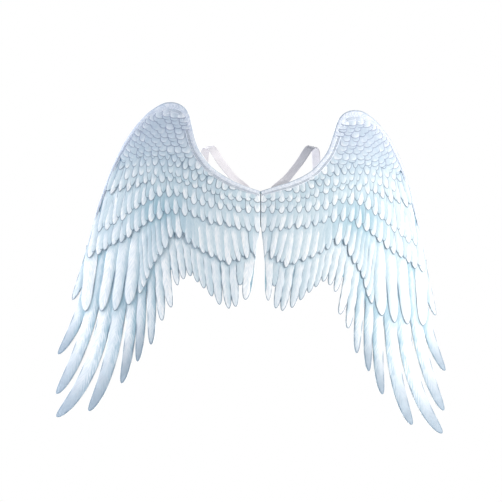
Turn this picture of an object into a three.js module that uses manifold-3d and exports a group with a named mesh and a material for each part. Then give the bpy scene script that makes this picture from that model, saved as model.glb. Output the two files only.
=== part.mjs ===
// Costume wings: two feather-edged wings of pressed fabric over thin foam, sewn together
// down a short centre seam and worn on the back with two elastic shoulder loops.
//
// Frame: millimetres, +Z up, +Y towards the wearer, +X to the right as seen from behind.
// The origin is the middle of the back pad, on the face that rests against the wearer.

import * as THREE from 'three';
import { mergeVertices } from 'three/addons/utils/BufferGeometryUtils.js';
import Module from 'manifold-3d';

const wasm = await Module();
wasm.setup();

// ---------------------------------------------------------------- driving dimensions

// One wing, cut flat, measured from the top of the centre seam.
const WING_REACH = 560;
const WING_RISE = 234;
const WING_DROP = 599;
const SEAM_LENGTH = 93;

// How each wing hangs when it is worn: it curls forward, and the right one sits lower.
const LEFT_CURL = THREE.MathUtils.degToRad(25);
const RIGHT_CURL = THREE.MathUtils.degToRad(34);
const RIGHT_DROOP = THREE.MathUtils.degToRad(4.8);

// The layers of a wing, from the printed face to the wearer.
const FACE_THICKNESS = 0.6;
const FOAM_THICKNESS = 3;
const LINING_THICKNESS = 0.6;

// Edge wire, its sewn casing and the plastic tips on its ends.
const WIRE_DIAMETER = 2;
const WIRE_INSET = 20;
const CASING_WIDTH = 12;
const CASING_WALL = 0.5;
const TIP_WALL = 0.4;
const TIP_LENGTH = 9;

// Back pad, seam tape, shoulder straps and the patches over the strap ends.
const PAD_WIDTH = 84;
const PAD_HEIGHT = 64;
const PAD_THICKNESS = 3;
const PAD_CORNER = 12;
const PAD_BELOW_SEAM_TOP = 28;
const TAPE_WIDTH = 20;
const TAPE_THICKNESS = 0.8;
const STRAP_WIDTH = 25;
const STRAP_THICKNESS = 1.6;
const PATCH_OVERLAP = 2.5;
const PATCH_HEIGHT = 20;
const PATCH_THICKNESS = 0.8;
const PATCH_CORNER = 3;
const PATCH_MARGIN = 3;

// The wearer that the straps go round.
const SHOULDER_X = 139;
const SHOULDER_Y = 75;
const SHOULDER_Z = 183;
const CHEST_Y = 168;
const UNDERARM_X = 178;
const UNDERARM_Z = -98;

// Clearances.
const GAP = 0.3;
const SEAM_EDGE = 0.9;
const BEND_GAP = 5;

// The curl is made of flat strips this wide.
const STRIP = 103;

// ---------------------------------------------------------------- wing pattern

// The pattern is drafted once, at this size, and graded to the driving dimensions.
const DRAFT_REACH = 560;
const DRAFT_RISE = 234;
const DRAFT_DROP = 599;

function grade(u, v) {
  const tall = v > 0 ? WING_RISE / DRAFT_RISE : WING_DROP / DRAFT_DROP;
  return new THREE.Vector2((u * WING_REACH) / DRAFT_REACH, v * tall);
}

// The edge that runs from the seam, over the arch and down the outside.
const leadingEdge = new THREE.SplineCurve([
  new THREE.Vector2(SEAM_EDGE, 0),
  grade(36, 12),
  grade(78, 30),
  grade(126, 62),
  grade(153, 95),
  grade(169, 125),
  grade(179, 163),
  grade(187, 197),
  grade(199, 219),
  grade(222, 232),
  grade(250, 233),
  grade(275, 222),
  grade(305, 200),
  grade(347, 153),
  grade(387, 86),
  grade(419, 12),
  grade(444, -57),
  grade(466, -136),
]);
const LEADING_POINTS = 34;

// The rest of the wing body, from the outside back to the slit under the seam.
const trailingSide = [
  [462, -230], [430, -290], [380, -305], [340, -295], [300, -262], [268, -225],
  [226, -200], [190, -192], [160, -205], [130, -222], [90, -248], [50, -245],
  [27, -240], [21, -221], [14, -181], [8, -141],
].map(([u, v]) => grade(u, v));

// Every feather that reaches past the body: root, bow and tip, and half its width.
const feathers = [
  { root: [440, -100], bow: [474, -215], tip: [512, -287], half: 14, blunt: 3 },
  { root: [434, -110], bow: [468, -330], tip: [555, -432], half: 17, blunt: 4 },
  { root: [420, -125], bow: [452, -400], tip: [560, -538], half: 18, blunt: 6 },
  { root: [392, -135], bow: [412, -480], tip: [560, -599], half: 20, blunt: 6 },
  { root: [366, -140], bow: [374, -455], tip: [464, -581], half: 19, blunt: 5 },
  { root: [340, -140], bow: [337, -400], tip: [371, -506], half: 15, blunt: 5 },
  { root: [315, -140], bow: [312, -350], tip: [327, -448], half: 13, blunt: 5 },
  { root: [292, -140], bow: [286, -320], tip: [290, -403], half: 12, blunt: 5 },
  { root: [270, -140], bow: [266, -280], tip: [260, -340], half: 12, blunt: 5 },
  { root: [252, -140], bow: [250, -250], tip: [235, -305], half: 12, blunt: 5 },
  { root: [234, -120], bow: [228, -200], tip: [218, -247], half: 10, blunt: 5 },
  { root: [216, -110], bow: [210, -180], tip: [202, -231], half: 11, blunt: 5 },
  { root: [198, -110], bow: [192, -170], tip: [184, -223], half: 11, blunt: 5 },
  { root: [178, -110], bow: [174, -180], tip: [165, -239], half: 11, blunt: 5 },
  { root: [162, -120], bow: [158, -190], tip: [148, -255], half: 12, blunt: 5 },
  { root: [142, -130], bow: [138, -210], tip: [128, -276], half: 12, blunt: 5 },
  { root: [121, -140], bow: [117, -230], tip: [107, -298], half: 12, blunt: 5 },
  { root: [95, -140], bow: [92, -240], tip: [83, -308], half: 12, blunt: 5 },
  { root: [72, -140], bow: [71, -240], tip: [65, -303], half: 12, blunt: 5 },
  { root: [27, -140], bow: [30, -220], tip: [40, -285], half: 14, blunt: 5 },
];
const FEATHER_STATIONS = [0, 0.55, 0.8, 0.94];

function featherShape({ root, bow, tip, half, blunt }) {
  const spine = new THREE.QuadraticBezierCurve(grade(...root), grade(...bow), grade(...tip));
  const near = [];
  const far = [];
  for (const s of FEATHER_STATIONS) {
    const middle = spine.getPoint(s);
    const along = spine.getTangent(s);
    const width = half * Math.sqrt(1 - s ** blunt);
    near.push(new THREE.Vector2(middle.x - along.y * width, middle.y + along.x * width));
    far.unshift(new THREE.Vector2(middle.x + along.y * width, middle.y - along.x * width));
  }
  return new THREE.Shape([...near, spine.getPoint(1), ...far]);
}

function bodyShape() {
  return new THREE.Shape([
    ...leadingEdge.getPoints(LEADING_POINTS),
    ...trailingSide,
    new THREE.Vector2(SEAM_EDGE + 1, -SEAM_LENGTH - 4),
    new THREE.Vector2(SEAM_EDGE, -SEAM_LENGTH),
  ]);
}

// ---------------------------------------------------------------- flat solids

// A flat solid has u outwards, v up and w through the layers, with w = 0 on the printed side.
function solidOf(geometry) {
  const bare = geometry.clone();
  bare.deleteAttribute('normal');
  bare.deleteAttribute('uv');
  const merged = mergeVertices(bare, 1e-4);
  const vertProperties = Float32Array.from(merged.getAttribute('position').array);
  const triVerts = Uint32Array.from(merged.getIndex().array);
  return new wasm.Manifold(new wasm.Mesh({ numProp: 3, vertProperties, triVerts }));
}

function slab(shape, low, high) {
  const geometry = new THREE.ExtrudeGeometry(shape, { depth: high - low, bevelEnabled: false });
  geometry.translate(0, 0, low);
  return solidOf(geometry);
}

function geometryOf(solid) {
  const { vertProperties, triVerts } = solid.getMesh();
  const geometry = new THREE.BufferGeometry();
  geometry.setAttribute('position', new THREE.BufferAttribute(vertProperties, 3));
  geometry.setIndex(new THREE.BufferAttribute(triVerts, 1));
  return geometry;
}

// The outer wing bends about this line, from the end of the edge wire to the trailing edge.
const bendTop = grade(292, 210);
const bendFoot = grade(226, -247);

function bendAt(v) {
  const share = (v - bendFoot.y) / (bendTop.y - bendFoot.y);
  return bendFoot.x + share * (bendTop.x - bendFoot.x);
}

// Everything on one side of the bend line, well past the wing.
function sideOfBend(sign) {
  const beyond = WING_REACH + WING_DROP;
  const start = (sign * BEND_GAP) / 2;
  const far = sign * 2 * beyond;
  return new THREE.Shape([
    new THREE.Vector2(bendAt(-beyond) + start, -beyond),
    new THREE.Vector2(bendAt(beyond) + start, beyond),
    new THREE.Vector2(far, beyond),
    new THREE.Vector2(far, -beyond),
  ]);
}

function wholeWing(low, high) {
  let wing = slab(bodyShape(), low, high);
  for (const feather of feathers) {
    wing = wing.add(slab(featherShape(feather), low, high));
  }
  return wing;
}

const layers = { face: FACE_THICKNESS, foam: FOAM_THICKNESS, lining: LINING_THICKNESS };
const SECTION_MARGIN = 1;

function wingLayers(sign) {
  const pieces = {};
  let low = 0;
  for (const [layer, thickness] of Object.entries(layers)) {
    const high = low + thickness;
    const side = slab(sideOfBend(sign), low - SECTION_MARGIN, high + SECTION_MARGIN);
    pieces[layer] = geometryOf(wholeWing(low, high).intersect(side));
    low = high + GAP;
  }
  return pieces;
}

const WING_THICKNESS = FACE_THICKNESS + FOAM_THICKNESS + LINING_THICKNESS + 2 * GAP;

// ---------------------------------------------------------------- edge wire and casing

const TIP_RADIUS = WIRE_DIAMETER / 2 + GAP + TIP_WALL;
const WIRE_DEPTH = WING_THICKNESS + GAP + TIP_RADIUS;
const WIRE_START = TAPE_WIDTH / 2 + TIP_LENGTH;
const WIRE_END_MARGIN = TIP_LENGTH + BEND_GAP;

// The wire follows the leading edge at a fixed inset, from beside the seam tape to the bend line.
function wirePath() {
  const points = [];
  const samples = 60;
  for (let i = 0; i <= samples; i += 1) {
    const edge = leadingEdge.getPoint(i / samples);
    const along = leadingEdge.getTangent(i / samples);
    const point = new THREE.Vector2(edge.x + along.y * WIRE_INSET, edge.y - along.x * WIRE_INSET);
    const pastSeam = point.x > WIRE_START;
    const beforeBend = point.x < bendAt(point.y) - WIRE_END_MARGIN;
    if (pastSeam && beforeBend) points.push(point);
  }
  return new THREE.SplineCurve(points);
}

const wireLine = wirePath();
const WIRE_STEPS = 40;

// A flat band along the wire, from one of its steps to another.
function band(halfWidth, firstStep, lastStep) {
  const near = [];
  const far = [];
  for (let i = firstStep; i <= lastStep; i += 1) {
    const middle = wireLine.getPointAt(i / WIRE_STEPS);
    const along = wireLine.getTangentAt(i / WIRE_STEPS);
    near.push(new THREE.Vector2(middle.x - along.y * halfWidth, middle.y + along.x * halfWidth));
    far.unshift(new THREE.Vector2(middle.x + along.y * halfWidth, middle.y - along.x * halfWidth));
  }
  return new THREE.Shape([...near, ...far]);
}

// The casing stops one step short of each end of the wire, and its groove is open to the lining.
function wireCasing() {
  const foot = WING_THICKNESS + GAP;
  const roof = WIRE_DEPTH + WIRE_DIAMETER / 2 + GAP;
  const tape = slab(band(CASING_WIDTH / 2, 1, WIRE_STEPS - 1), foot, roof + CASING_WALL);
  const groove = slab(band(WIRE_DIAMETER / 2 + GAP, 0, WIRE_STEPS), foot - 1, roof);
  return geometryOf(tape.subtract(groove));
}

function edgeWire() {
  const line = wireLine.getSpacedPoints(WIRE_STEPS).map((p) => new THREE.Vector3(p.x, p.y, WIRE_DEPTH));
  const round = new THREE.Shape().absarc(0, 0, WIRE_DIAMETER / 2, 0, 2 * Math.PI);
  return new THREE.ExtrudeGeometry(round, {
    steps: WIRE_STEPS,
    curveSegments: 3,
    bevelEnabled: false,
    extrudePath: new THREE.CatmullRomCurve3(line),
  });
}

// A dipped plastic tip: a cup that covers the last part of the wire.
function wireTip(end) {
  const bore = WIRE_DIAMETER / 2 + GAP;
  const cover = TIP_LENGTH - 2;
  const profile = [
    [0, GAP], [bore, GAP], [bore, -cover], [TIP_RADIUS, -cover], [TIP_RADIUS, 1], [TIP_RADIUS * 0.7, 2], [0, 2],
  ];
  const cup = new THREE.LatheGeometry(profile.map(([x, y]) => new THREE.Vector2(x, y)), 12);
  const spot = wireLine.getPointAt(end);
  const along = wireLine.getTangentAt(end).multiplyScalar(end === 0 ? -1 : 1);
  cup.rotateZ(Math.atan2(along.y, along.x) - Math.PI / 2);
  cup.translate(spot.x, spot.y, WIRE_DEPTH);
  return cup;
}

// ---------------------------------------------------------------- from flat to worn

const wings = {
  left: { side: -1, curl: LEFT_CURL, droop: 0 },
  right: { side: 1, curl: RIGHT_CURL, droop: RIGHT_DROOP },
};
const SEAM_TOP_Z = PAD_HEIGHT / 2 + PAD_BELOW_SEAM_TOP;
const STRAP_Y = -(PAD_THICKNESS + GAP + STRAP_THICKNESS / 2);
const TAPE_Y = STRAP_Y - STRAP_THICKNESS / 2 - GAP;
const LINING_Y = TAPE_Y - Math.max(TAPE_THICKNESS, PATCH_THICKNESS) - GAP;
const FACE_Y = LINING_Y - WING_THICKNESS;
const CURL_START = PAD_WIDTH / 2 + 3;
const DROOP_RAMP = 120;
const SLIT_DROOP = 0.25;

// The wing turns down about the seam top, not at the seam itself but more and more beside it.
function drooped([u, v, w], droop) {
  const belowSeam = Math.max(0, -SEAM_LENGTH - v);
  const share = THREE.MathUtils.smoothstep(u + SLIT_DROOP * belowSeam, SEAM_EDGE, DROOP_RAMP);
  const angle = droop * share;
  const turnedU = u * Math.cos(angle) + v * Math.sin(angle);
  const turnedV = -u * Math.sin(angle) + v * Math.cos(angle);
  return [turnedU, turnedV, w];
}

// Cuts every triangle where it crosses from one flat strip of the curl to the next.
function cutIntoStrips(points, triangles) {
  let pieces = triangles;
  const strips = Math.ceil(Math.max(...points.map((p) => p[0])) / STRIP);
  for (let k = 0; k < strips; k += 1) {
    const line = CURL_START + k * STRIP;
    const crossings = new Map();
    const place = (i) => (Math.abs(points[i][0] - line) < 1e-4 ? 0 : Math.sign(points[i][0] - line));
    const crossing = (a, b) => {
      const [i, j] = a < b ? [a, b] : [b, a];
      const key = `${i} ${j}`;
      if (!crossings.has(key)) {
        const share = (line - points[i][0]) / (points[j][0] - points[i][0]);
        points.push(points[i].map((value, axis) => value + share * (points[j][axis] - value)));
        crossings.set(key, points.length - 1);
      }
      return crossings.get(key);
    };
    pieces = pieces.flatMap((triangle) => {
      const places = triangle.map(place);
      if (!places.includes(1) || !places.includes(-1)) return [triangle];
      const onLine = places.indexOf(0);
      const sum = places[0] + places[1] + places[2];
      const first = onLine >= 0 ? onLine : places.indexOf(-sum);
      const [a, b, c] = [0, 1, 2].map((step) => triangle[(first + step) % 3]);
      if (onLine >= 0) {
        const middle = crossing(b, c);
        return [[a, b, middle], [a, middle, c]];
      }
      const onB = crossing(a, b);
      const onC = crossing(a, c);
      return [[a, onB, onC], [onB, b, c], [onB, c, onC]];
    });
  }
  return pieces;
}

// The curl is an arc that starts beside the pad: its place and direction at one strip line.
function arcAt(u, curl) {
  const radius = (WING_REACH - CURL_START) / curl;
  const angle = (u - CURL_START) / radius;
  return {
    out: CURL_START + radius * Math.sin(angle),
    forward: radius * (1 - Math.cos(angle)),
    inward: [-Math.sin(angle), Math.cos(angle)],
  };
}

function curled([u, v, w], { side, curl }) {
  let out = u;
  let forward = w;
  if (u > CURL_START) {
    const strip = Math.floor((u - CURL_START) / STRIP);
    const from = CURL_START + strip * STRIP;
    const share = (u - from) / STRIP;
    const near = arcAt(from, curl);
    const far = arcAt(from + STRIP, curl);
    const mix = (a, b) => a + share * (b - a);
    out = mix(near.out + w * near.inward[0], far.out + w * far.inward[0]);
    forward = mix(near.forward + w * near.inward[1], far.forward + w * far.inward[1]);
  }
  return [side * out, FACE_Y + forward, SEAM_TOP_Z + v];
}

// Turns a flat piece into the worn one.
function worn(geometry, wing) {
  const bare = geometry.clone();
  bare.deleteAttribute('normal');
  bare.deleteAttribute('uv');
  const flat = mergeVertices(bare, 1e-4);
  const position = flat.getAttribute('position');
  const index = flat.getIndex().array;
  const points = [];
  for (let i = 0; i < position.count; i += 1) {
    points.push(drooped([position.getX(i), position.getY(i), position.getZ(i)], wing.droop));
  }
  const triangles = [];
  for (let i = 0; i < index.length; i += 3) {
    const [a, b, c] = index.slice(i, i + 3);
    triangles.push(wing.side > 0 ? [a, c, b] : [a, b, c]);
  }
  const pieces = cutIntoStrips(points, triangles);
  const result = new THREE.BufferGeometry();
  const placed = points.flatMap((point) => curled(point, wing));
  result.setAttribute('position', new THREE.Float32BufferAttribute(placed, 3));
  result.setIndex(pieces.flat());
  result.computeVertexNormals();
  return result;
}

// ---------------------------------------------------------------- pad, tape, straps

function roundedPlate(width, height, corner, thickness) {
  const x = width / 2;
  const y = height / 2;
  const shape = new THREE.Shape();
  shape.absarc(x - corner, y - corner, corner, 0, Math.PI / 2);
  shape.absarc(-x + corner, y - corner, corner, Math.PI / 2, Math.PI);
  shape.absarc(-x + corner, -y + corner, corner, Math.PI, 1.5 * Math.PI);
  shape.absarc(x - corner, -y + corner, corner, 1.5 * Math.PI, 2 * Math.PI);
  shape.closePath();
  const plate = new THREE.ExtrudeGeometry(shape, { depth: thickness, bevelEnabled: false, curveSegments: 3 });
  plate.rotateX(Math.PI / 2);
  return plate;
}

// The strap ends lie side by side behind the pad, each on its own patch beside the seam tape.
const PATCH_WIDTH = STRAP_WIDTH + 2 * PATCH_OVERLAP;
const STRAP_END_X = TAPE_WIDTH / 2 + 1 + PATCH_WIDTH / 2;
const PATCH_Z = PAD_HEIGHT / 2 - PATCH_MARGIN - PATCH_HEIGHT / 2;
const STRAP_END_Z = PATCH_Z - PATCH_HEIGHT / 2 + 2;

// Where the strap has risen enough to clear the wire casing.
const OVER_CASING_Y = LINING_Y + WIRE_DEPTH - WING_THICKNESS + TIP_RADIUS + CASING_WALL + STRAP_THICKNESS;

// One loop: up from the pad, over the shoulder, down the chest, under the arm and back.
class StrapRoute extends THREE.CatmullRomCurve3 {
  constructor(side) {
    const points = [
      [STRAP_END_X, STRAP_Y, STRAP_END_Z],
      [STRAP_END_X, STRAP_Y, PAD_HEIGHT / 2 - 4],
      [STRAP_END_X, STRAP_Y, PAD_HEIGHT / 2 + 2],
      [STRAP_END_X + 2, OVER_CASING_Y, PAD_HEIGHT / 2 + 13],
      [STRAP_END_X + 11, 4, PAD_HEIGHT / 2 + 30],
      [64, 12, SEAM_TOP_Z + 28],
      [102, 38, SHOULDER_Z - 48],
      [SHOULDER_X - 8, SHOULDER_Y - 10, SHOULDER_Z - 6],
      [SHOULDER_X + 6, SHOULDER_Y + 25, SHOULDER_Z - 6],
      [SHOULDER_X + 12, CHEST_Y - 30, SHOULDER_Z - 50],
      [SHOULDER_X + 12, CHEST_Y, SHOULDER_Z - 125],
      [SHOULDER_X + 20, CHEST_Y - 8, SHOULDER_Z - 190],
      [UNDERARM_X - 6, CHEST_Y - 30, UNDERARM_Z + 45],
      [UNDERARM_X, CHEST_Y - 65, UNDERARM_Z + 10],
      [UNDERARM_X - 12, CHEST_Y - 105, UNDERARM_Z],
      [UNDERARM_X - 42, 32, UNDERARM_Z + 2],
      [100, 15, UNDERARM_Z + 20],
      [STRAP_END_X + 38, 7, -PAD_HEIGHT / 2 - 36],
      [STRAP_END_X + 12, 2, -PAD_HEIGHT / 2 - 26],
      [STRAP_END_X + 2, STRAP_Y + 2, -PAD_HEIGHT / 2 - 12],
      [STRAP_END_X, STRAP_Y, -PAD_HEIGHT / 2 - 2],
      [STRAP_END_X, STRAP_Y, -PAD_HEIGHT / 2 + 4],
      [STRAP_END_X, STRAP_Y, -STRAP_END_Z],
    ];
    super(points.map(([x, y, z]) => new THREE.Vector3(side * x, y, z)), false, 'centripetal');
    this.middle = new THREE.Vector3(side * 100, CHEST_Y / 2, 30);
  }

  // The webbing lies flat behind the pad at both ends and flat on the wearer in between.
  computeFrenetFrames(steps) {
    const frames = { tangents: [], normals: [], binormals: [] };
    const length = this.getLength();
    const sewn = PATCH_HEIGHT + 14;
    for (let i = 0; i <= steps; i += 1) {
      const tangent = this.getTangentAt(i / steps);
      const fromEnd = Math.min(i, steps - i) * (length / steps);
      const free = THREE.MathUtils.smoothstep(fromEnd, sewn, sewn + 90);
      const away = this.getPointAt(i / steps).sub(this.middle).normalize();
      const outward = new THREE.Vector3(0, -1, 0).lerp(away, free);
      outward.addScaledVector(tangent, -outward.dot(tangent)).normalize();
      frames.tangents.push(tangent);
      frames.normals.push(outward);
      frames.binormals.push(new THREE.Vector3().crossVectors(tangent, outward));
    }
    return frames;
  }
}

function shoulderStrap(side) {
  const x = STRAP_THICKNESS / 2;
  const y = STRAP_WIDTH / 2;
  const section = new THREE.Shape([
    new THREE.Vector2(-x, -y),
    new THREE.Vector2(x, -y),
    new THREE.Vector2(x, y),
    new THREE.Vector2(-x, y),
  ]);
  return new THREE.ExtrudeGeometry(section, {
    steps: 72,
    bevelEnabled: false,
    extrudePath: new StrapRoute(side),
  });
}

// ---------------------------------------------------------------- materials and assembly

function finish(color, roughness, metalness = 0) {
  return new THREE.MeshStandardMaterial({ color, roughness, metalness });
}

const printedFabric = finish(0xdbe5f2, 0.85);
const whiteFoam = finish(0xf3f3f0, 0.9);
const plainLining = finish(0xeceff4, 0.9);
const springSteel = finish(0x8e9399, 0.35, 1);
const casingTape = finish(0xf5f5f7, 0.85);
const dippedPlastic = finish(0xf0f0ee, 0.5);
const elasticWebbing = finish(0xe9e6ee, 0.8);
const paddedFelt = finish(0xeef0f3, 0.95);

const costumeWings = new THREE.Group();

function addPiece(name, geometry, material) {
  const piece = new THREE.Mesh(geometry, material);
  piece.name = name;
  costumeWings.add(piece);
  return piece;
}

addPiece('back_pad', roundedPlate(PAD_WIDTH, PAD_HEIGHT, PAD_CORNER, PAD_THICKNESS), paddedFelt)
  .position.set(0, 0, 0);

const tapeHeight = SEAM_LENGTH - 2 * GAP;
addPiece('seam_tape', new THREE.BoxGeometry(TAPE_WIDTH, TAPE_THICKNESS, tapeHeight), casingTape)
  .position.set(0, TAPE_Y - TAPE_THICKNESS / 2, SEAM_TOP_Z - SEAM_LENGTH / 2);

const sections = { inner: wingLayers(-1), tip: wingLayers(1) };
const layerMaterials = { face: printedFabric, foam: whiteFoam, lining: plainLining };

for (const [name, wing] of Object.entries(wings)) {
  addPiece(`shoulder_strap_${name}`, shoulderStrap(wing.side), elasticWebbing);
  for (const [level, sign] of [['upper', 1], ['lower', -1]]) {
    const patch = roundedPlate(PATCH_WIDTH, PATCH_HEIGHT, PATCH_CORNER, PATCH_THICKNESS);
    addPiece(`strap_patch_${level}_${name}`, patch, casingTape)
      .position.set(wing.side * STRAP_END_X, TAPE_Y, sign * PATCH_Z);
  }
  for (const [section, pieces] of Object.entries(sections)) {
    for (const [layer, geometry] of Object.entries(pieces)) {
      addPiece(`${layer}_${section}_${name}`, worn(geometry, wing), layerMaterials[layer]);
    }
  }
  addPiece(`edge_wire_${name}`, worn(edgeWire(), wing), springSteel);
  addPiece(`wire_casing_${name}`, worn(wireCasing(), wing), casingTape);
  addPiece(`wire_tip_root_${name}`, worn(wireTip(0), wing), dippedPlastic);
  addPiece(`wire_tip_arch_${name}`, worn(wireTip(1), wing), dippedPlastic);
}

export default costumeWings;
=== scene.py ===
import math

import bmesh
import bpy
import numpy as np
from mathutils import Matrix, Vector
from mathutils.geometry import delaunay_2d_cdt
from mathutils.kdtree import KDTree


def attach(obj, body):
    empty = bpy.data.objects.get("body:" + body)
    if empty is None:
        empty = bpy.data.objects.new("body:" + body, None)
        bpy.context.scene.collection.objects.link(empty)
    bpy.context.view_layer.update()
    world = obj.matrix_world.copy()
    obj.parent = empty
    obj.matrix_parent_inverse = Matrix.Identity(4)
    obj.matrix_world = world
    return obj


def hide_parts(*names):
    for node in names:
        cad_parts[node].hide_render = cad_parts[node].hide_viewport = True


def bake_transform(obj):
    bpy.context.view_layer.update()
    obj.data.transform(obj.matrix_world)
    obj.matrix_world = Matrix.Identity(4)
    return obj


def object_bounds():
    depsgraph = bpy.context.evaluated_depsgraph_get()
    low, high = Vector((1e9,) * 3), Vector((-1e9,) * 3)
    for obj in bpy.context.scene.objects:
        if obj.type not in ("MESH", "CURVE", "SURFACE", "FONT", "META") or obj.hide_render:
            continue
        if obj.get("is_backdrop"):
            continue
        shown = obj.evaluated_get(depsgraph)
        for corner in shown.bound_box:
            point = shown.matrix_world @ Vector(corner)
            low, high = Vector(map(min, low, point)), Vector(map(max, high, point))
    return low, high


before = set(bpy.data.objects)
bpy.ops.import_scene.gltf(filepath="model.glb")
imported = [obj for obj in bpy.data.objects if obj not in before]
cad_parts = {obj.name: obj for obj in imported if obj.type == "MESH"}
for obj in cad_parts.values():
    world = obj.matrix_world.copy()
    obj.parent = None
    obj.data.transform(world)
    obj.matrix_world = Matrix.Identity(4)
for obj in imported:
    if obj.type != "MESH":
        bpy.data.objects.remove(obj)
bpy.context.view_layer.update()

# ---------------------------------------------------------------- back pad
# The pad lies between the wearer's back and the sewn strap ends. It is needled felt, swollen a
# little between its seams, with a row of stitching round the rim and a box where each strap is sewn.

MM = 0.001
PAD_WIDTH, PAD_HEIGHT, PAD_THICKNESS, PAD_CORNER = 84, 64, 3, 12
PAD_SHRINK = 0.7
PAD_EDGE_ROUND = 0.5
PAD_VOXEL = 1.4
PAD_PRESSURE = 40
PAD_SWELL = 0.45
SWELL_FRAMES = 20
RIM_SEAM_INSET, RIM_SEAM_CORNER = 5, 8
SEAM_DEPTH, SEAM_SPREAD = 0.8, 1.9
FELT_DARK, FELT_LIGHT = (0.52, 0.54, 0.57), (0.68, 0.69, 0.71)
THREAD_DARK, THREAD_LIGHT = (0.56, 0.57, 0.61), (0.80, 0.81, 0.83)

# A stitch: the thread's thickness, its length, the gap at each of its ends, and for each ring of
# points along it how far along that is, how high the thread arches and how stout it is.
THREAD_THICKNESS, THREAD_SIDES = 0.42, 6
STITCH_LENGTH, STITCH_GAP = 2.8, 0.06
STITCH_RINGS = [(0.0, -0.9, 0.45), (0.12, 0.1, 0.85), (0.35, 0.65, 1.0), (0.65, 0.65, 1.0),
                (0.88, 0.1, 0.85), (1.0, -0.9, 0.45)]


def add(tree, kind, *inputs, **settings):
    """Adds a shader node. Each input is a plain value, or a socket that is linked to it."""
    made = tree.nodes.new("ShaderNode" + kind)
    for name, value in settings.items():
        setattr(made, name, value)
    for socket, value in zip(made.inputs, inputs):
        if isinstance(value, bpy.types.NodeSocket):
            tree.links.new(value, socket)
        elif value is not None:
            socket.default_value = value
    return made


def calc(tree, operation, *inputs):
    return add(tree, "Math", *inputs, operation=operation).outputs[0]


def times(tree, first, second):
    return calc(tree, "MULTIPLY", first, second)


def plus(tree, first, second):
    return calc(tree, "ADD", first, second)


def mix(tree, share, first, second):
    """Two colours mixed by share, which is a value or a socket."""
    made = add(tree, "Mix", data_type="RGBA")
    for place, value in ((0, share), (6, first), (7, second)):
        if isinstance(value, bpy.types.NodeSocket):
            tree.links.new(value, made.inputs[place])
        else:
            made.inputs[place].default_value = value if place == 0 else (*value, 1)
    return made.outputs[2]


def ramp(tree, value, low, high, start=0.0, end=1.0):
    """Value from low to high becomes start to end, smoothly."""
    made = add(tree, "MapRange", value, low, high, start, end, interpolation_type="SMOOTHSTEP")
    return made.outputs[0]


def noise(tree, place, scale, detail=2.0, roughness=0.5):
    return add(tree, "TexNoise", place, None, scale, detail, roughness).outputs[0]


def effect(name, inputs, outputs):
    """A node group with number sockets, and its two end nodes."""
    tree = bpy.data.node_groups.new(name, "ShaderNodeTree")
    for label, value in inputs.items():
        socket = tree.interface.new_socket(label, in_out="INPUT", socket_type="NodeSocketFloat")
        socket.default_value = value
    for label in outputs:
        tree.interface.new_socket(label, in_out="OUTPUT", socket_type="NodeSocketFloat")
    return tree, tree.nodes.new("NodeGroupInput").outputs, tree.nodes.new("NodeGroupOutput").inputs


def use(tree, group, **values):
    """Puts a node group into a material with its own values, and returns its outputs."""
    made = tree.nodes.new("ShaderNodeGroup")
    made.node_tree = group
    for name, value in values.items():
        socket = made.inputs[name.replace("_", " ")]
        if isinstance(value, bpy.types.NodeSocket):
            tree.links.new(value, socket)
        else:
            socket.default_value = value
    return made.outputs


def material(name, roughness, **plain):
    """A Principled material with its plain values set, and its node tree."""
    made = bpy.data.materials.new(name)
    made.use_nodes = True
    shader = made.node_tree.nodes["Principled BSDF"]
    shader.inputs["Roughness"].default_value = roughness
    for label, value in plain.items():
        shader.inputs[label.replace("_", " ")].default_value = value
    return made, made.node_tree, shader.inputs


def own_place(tree):
    """Where on the piece itself a point of its surface is."""
    return add(tree, "TexCoord").outputs["Object"]


def stored(tree, name):
    """The three parts of a vector that a mesh holds for each of its vertices."""
    vector = add(tree, "Attribute", attribute_name=name).outputs["Vector"]
    return list(add(tree, "SeparateXYZ", vector).outputs)


def give_surface(tree, sockets, tone, height, strength, distance):
    """Feeds a colour into the shader, and a height through a bump node into its normal."""
    tree.links.new(tone, sockets["Base Color"])
    bump = add(tree, "Bump", strength, distance)
    tree.links.new(height, bump.inputs["Height"])
    tree.links.new(bump.outputs[0], sockets["Normal"])


# Fibres that lie every way, as in felt and pressed non-woven cloth.
fibre, ends, out = effect("Fibre", {"Fineness": 900.0, "Clumps": 90.0}, ("Shade", "Height"))
where = own_place(fibre)
warp = add(fibre, "TexNoise", where, None, ends["Clumps"], 3.0, 0.6)
stretched = add(fibre, "Mapping", where, None, None, (1.0, 1.0, 0.28))
hairs = add(fibre, "TexNoise", stretched.outputs[0], None, ends["Fineness"], 3.0, 0.7, 2.0, 0.6)
crossed = add(fibre, "Mapping", where, None, (0.0, 1.1, 0.3), (0.28, 1.0, 1.0))
under = add(fibre, "TexNoise", crossed.outputs[0], None, ends["Fineness"], 3.0, 0.7, 2.0, 0.6)
both = calc(fibre, "MAXIMUM", hairs.outputs[0], under.outputs[0])
fibre.links.new(both, out["Height"])
fibre.links.new(times(fibre, both, warp.outputs[0]), out["Shade"])

felt, tree, sockets = material("pad felt", 0.95, Sheen_Weight=0.25, Sheen_Roughness=0.6)
hair = use(tree, fibre, Fineness=1400.0, Clumps=160.0)
tone = mix(tree, ramp(tree, hair["Shade"], 0.15, 0.5), FELT_DARK, FELT_LIGHT)
give_surface(tree, sockets, tone, hair["Height"], 0.6, 0.0006)

thread, tree, sockets = material("sewing thread", 0.55, Sheen_Weight=0.2)
where = own_place(tree)
ply = add(tree, "TexWave", where, 900.0, 1.5, wave_type="BANDS", bands_direction="DIAGONAL")
tone = mix(tree, ramp(tree, ply.outputs[1], 0.1, 0.9), THREAD_DARK, THREAD_LIGHT)
give_surface(tree, sockets, tone, ply.outputs[1], 0.5, 0.0002)


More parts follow.
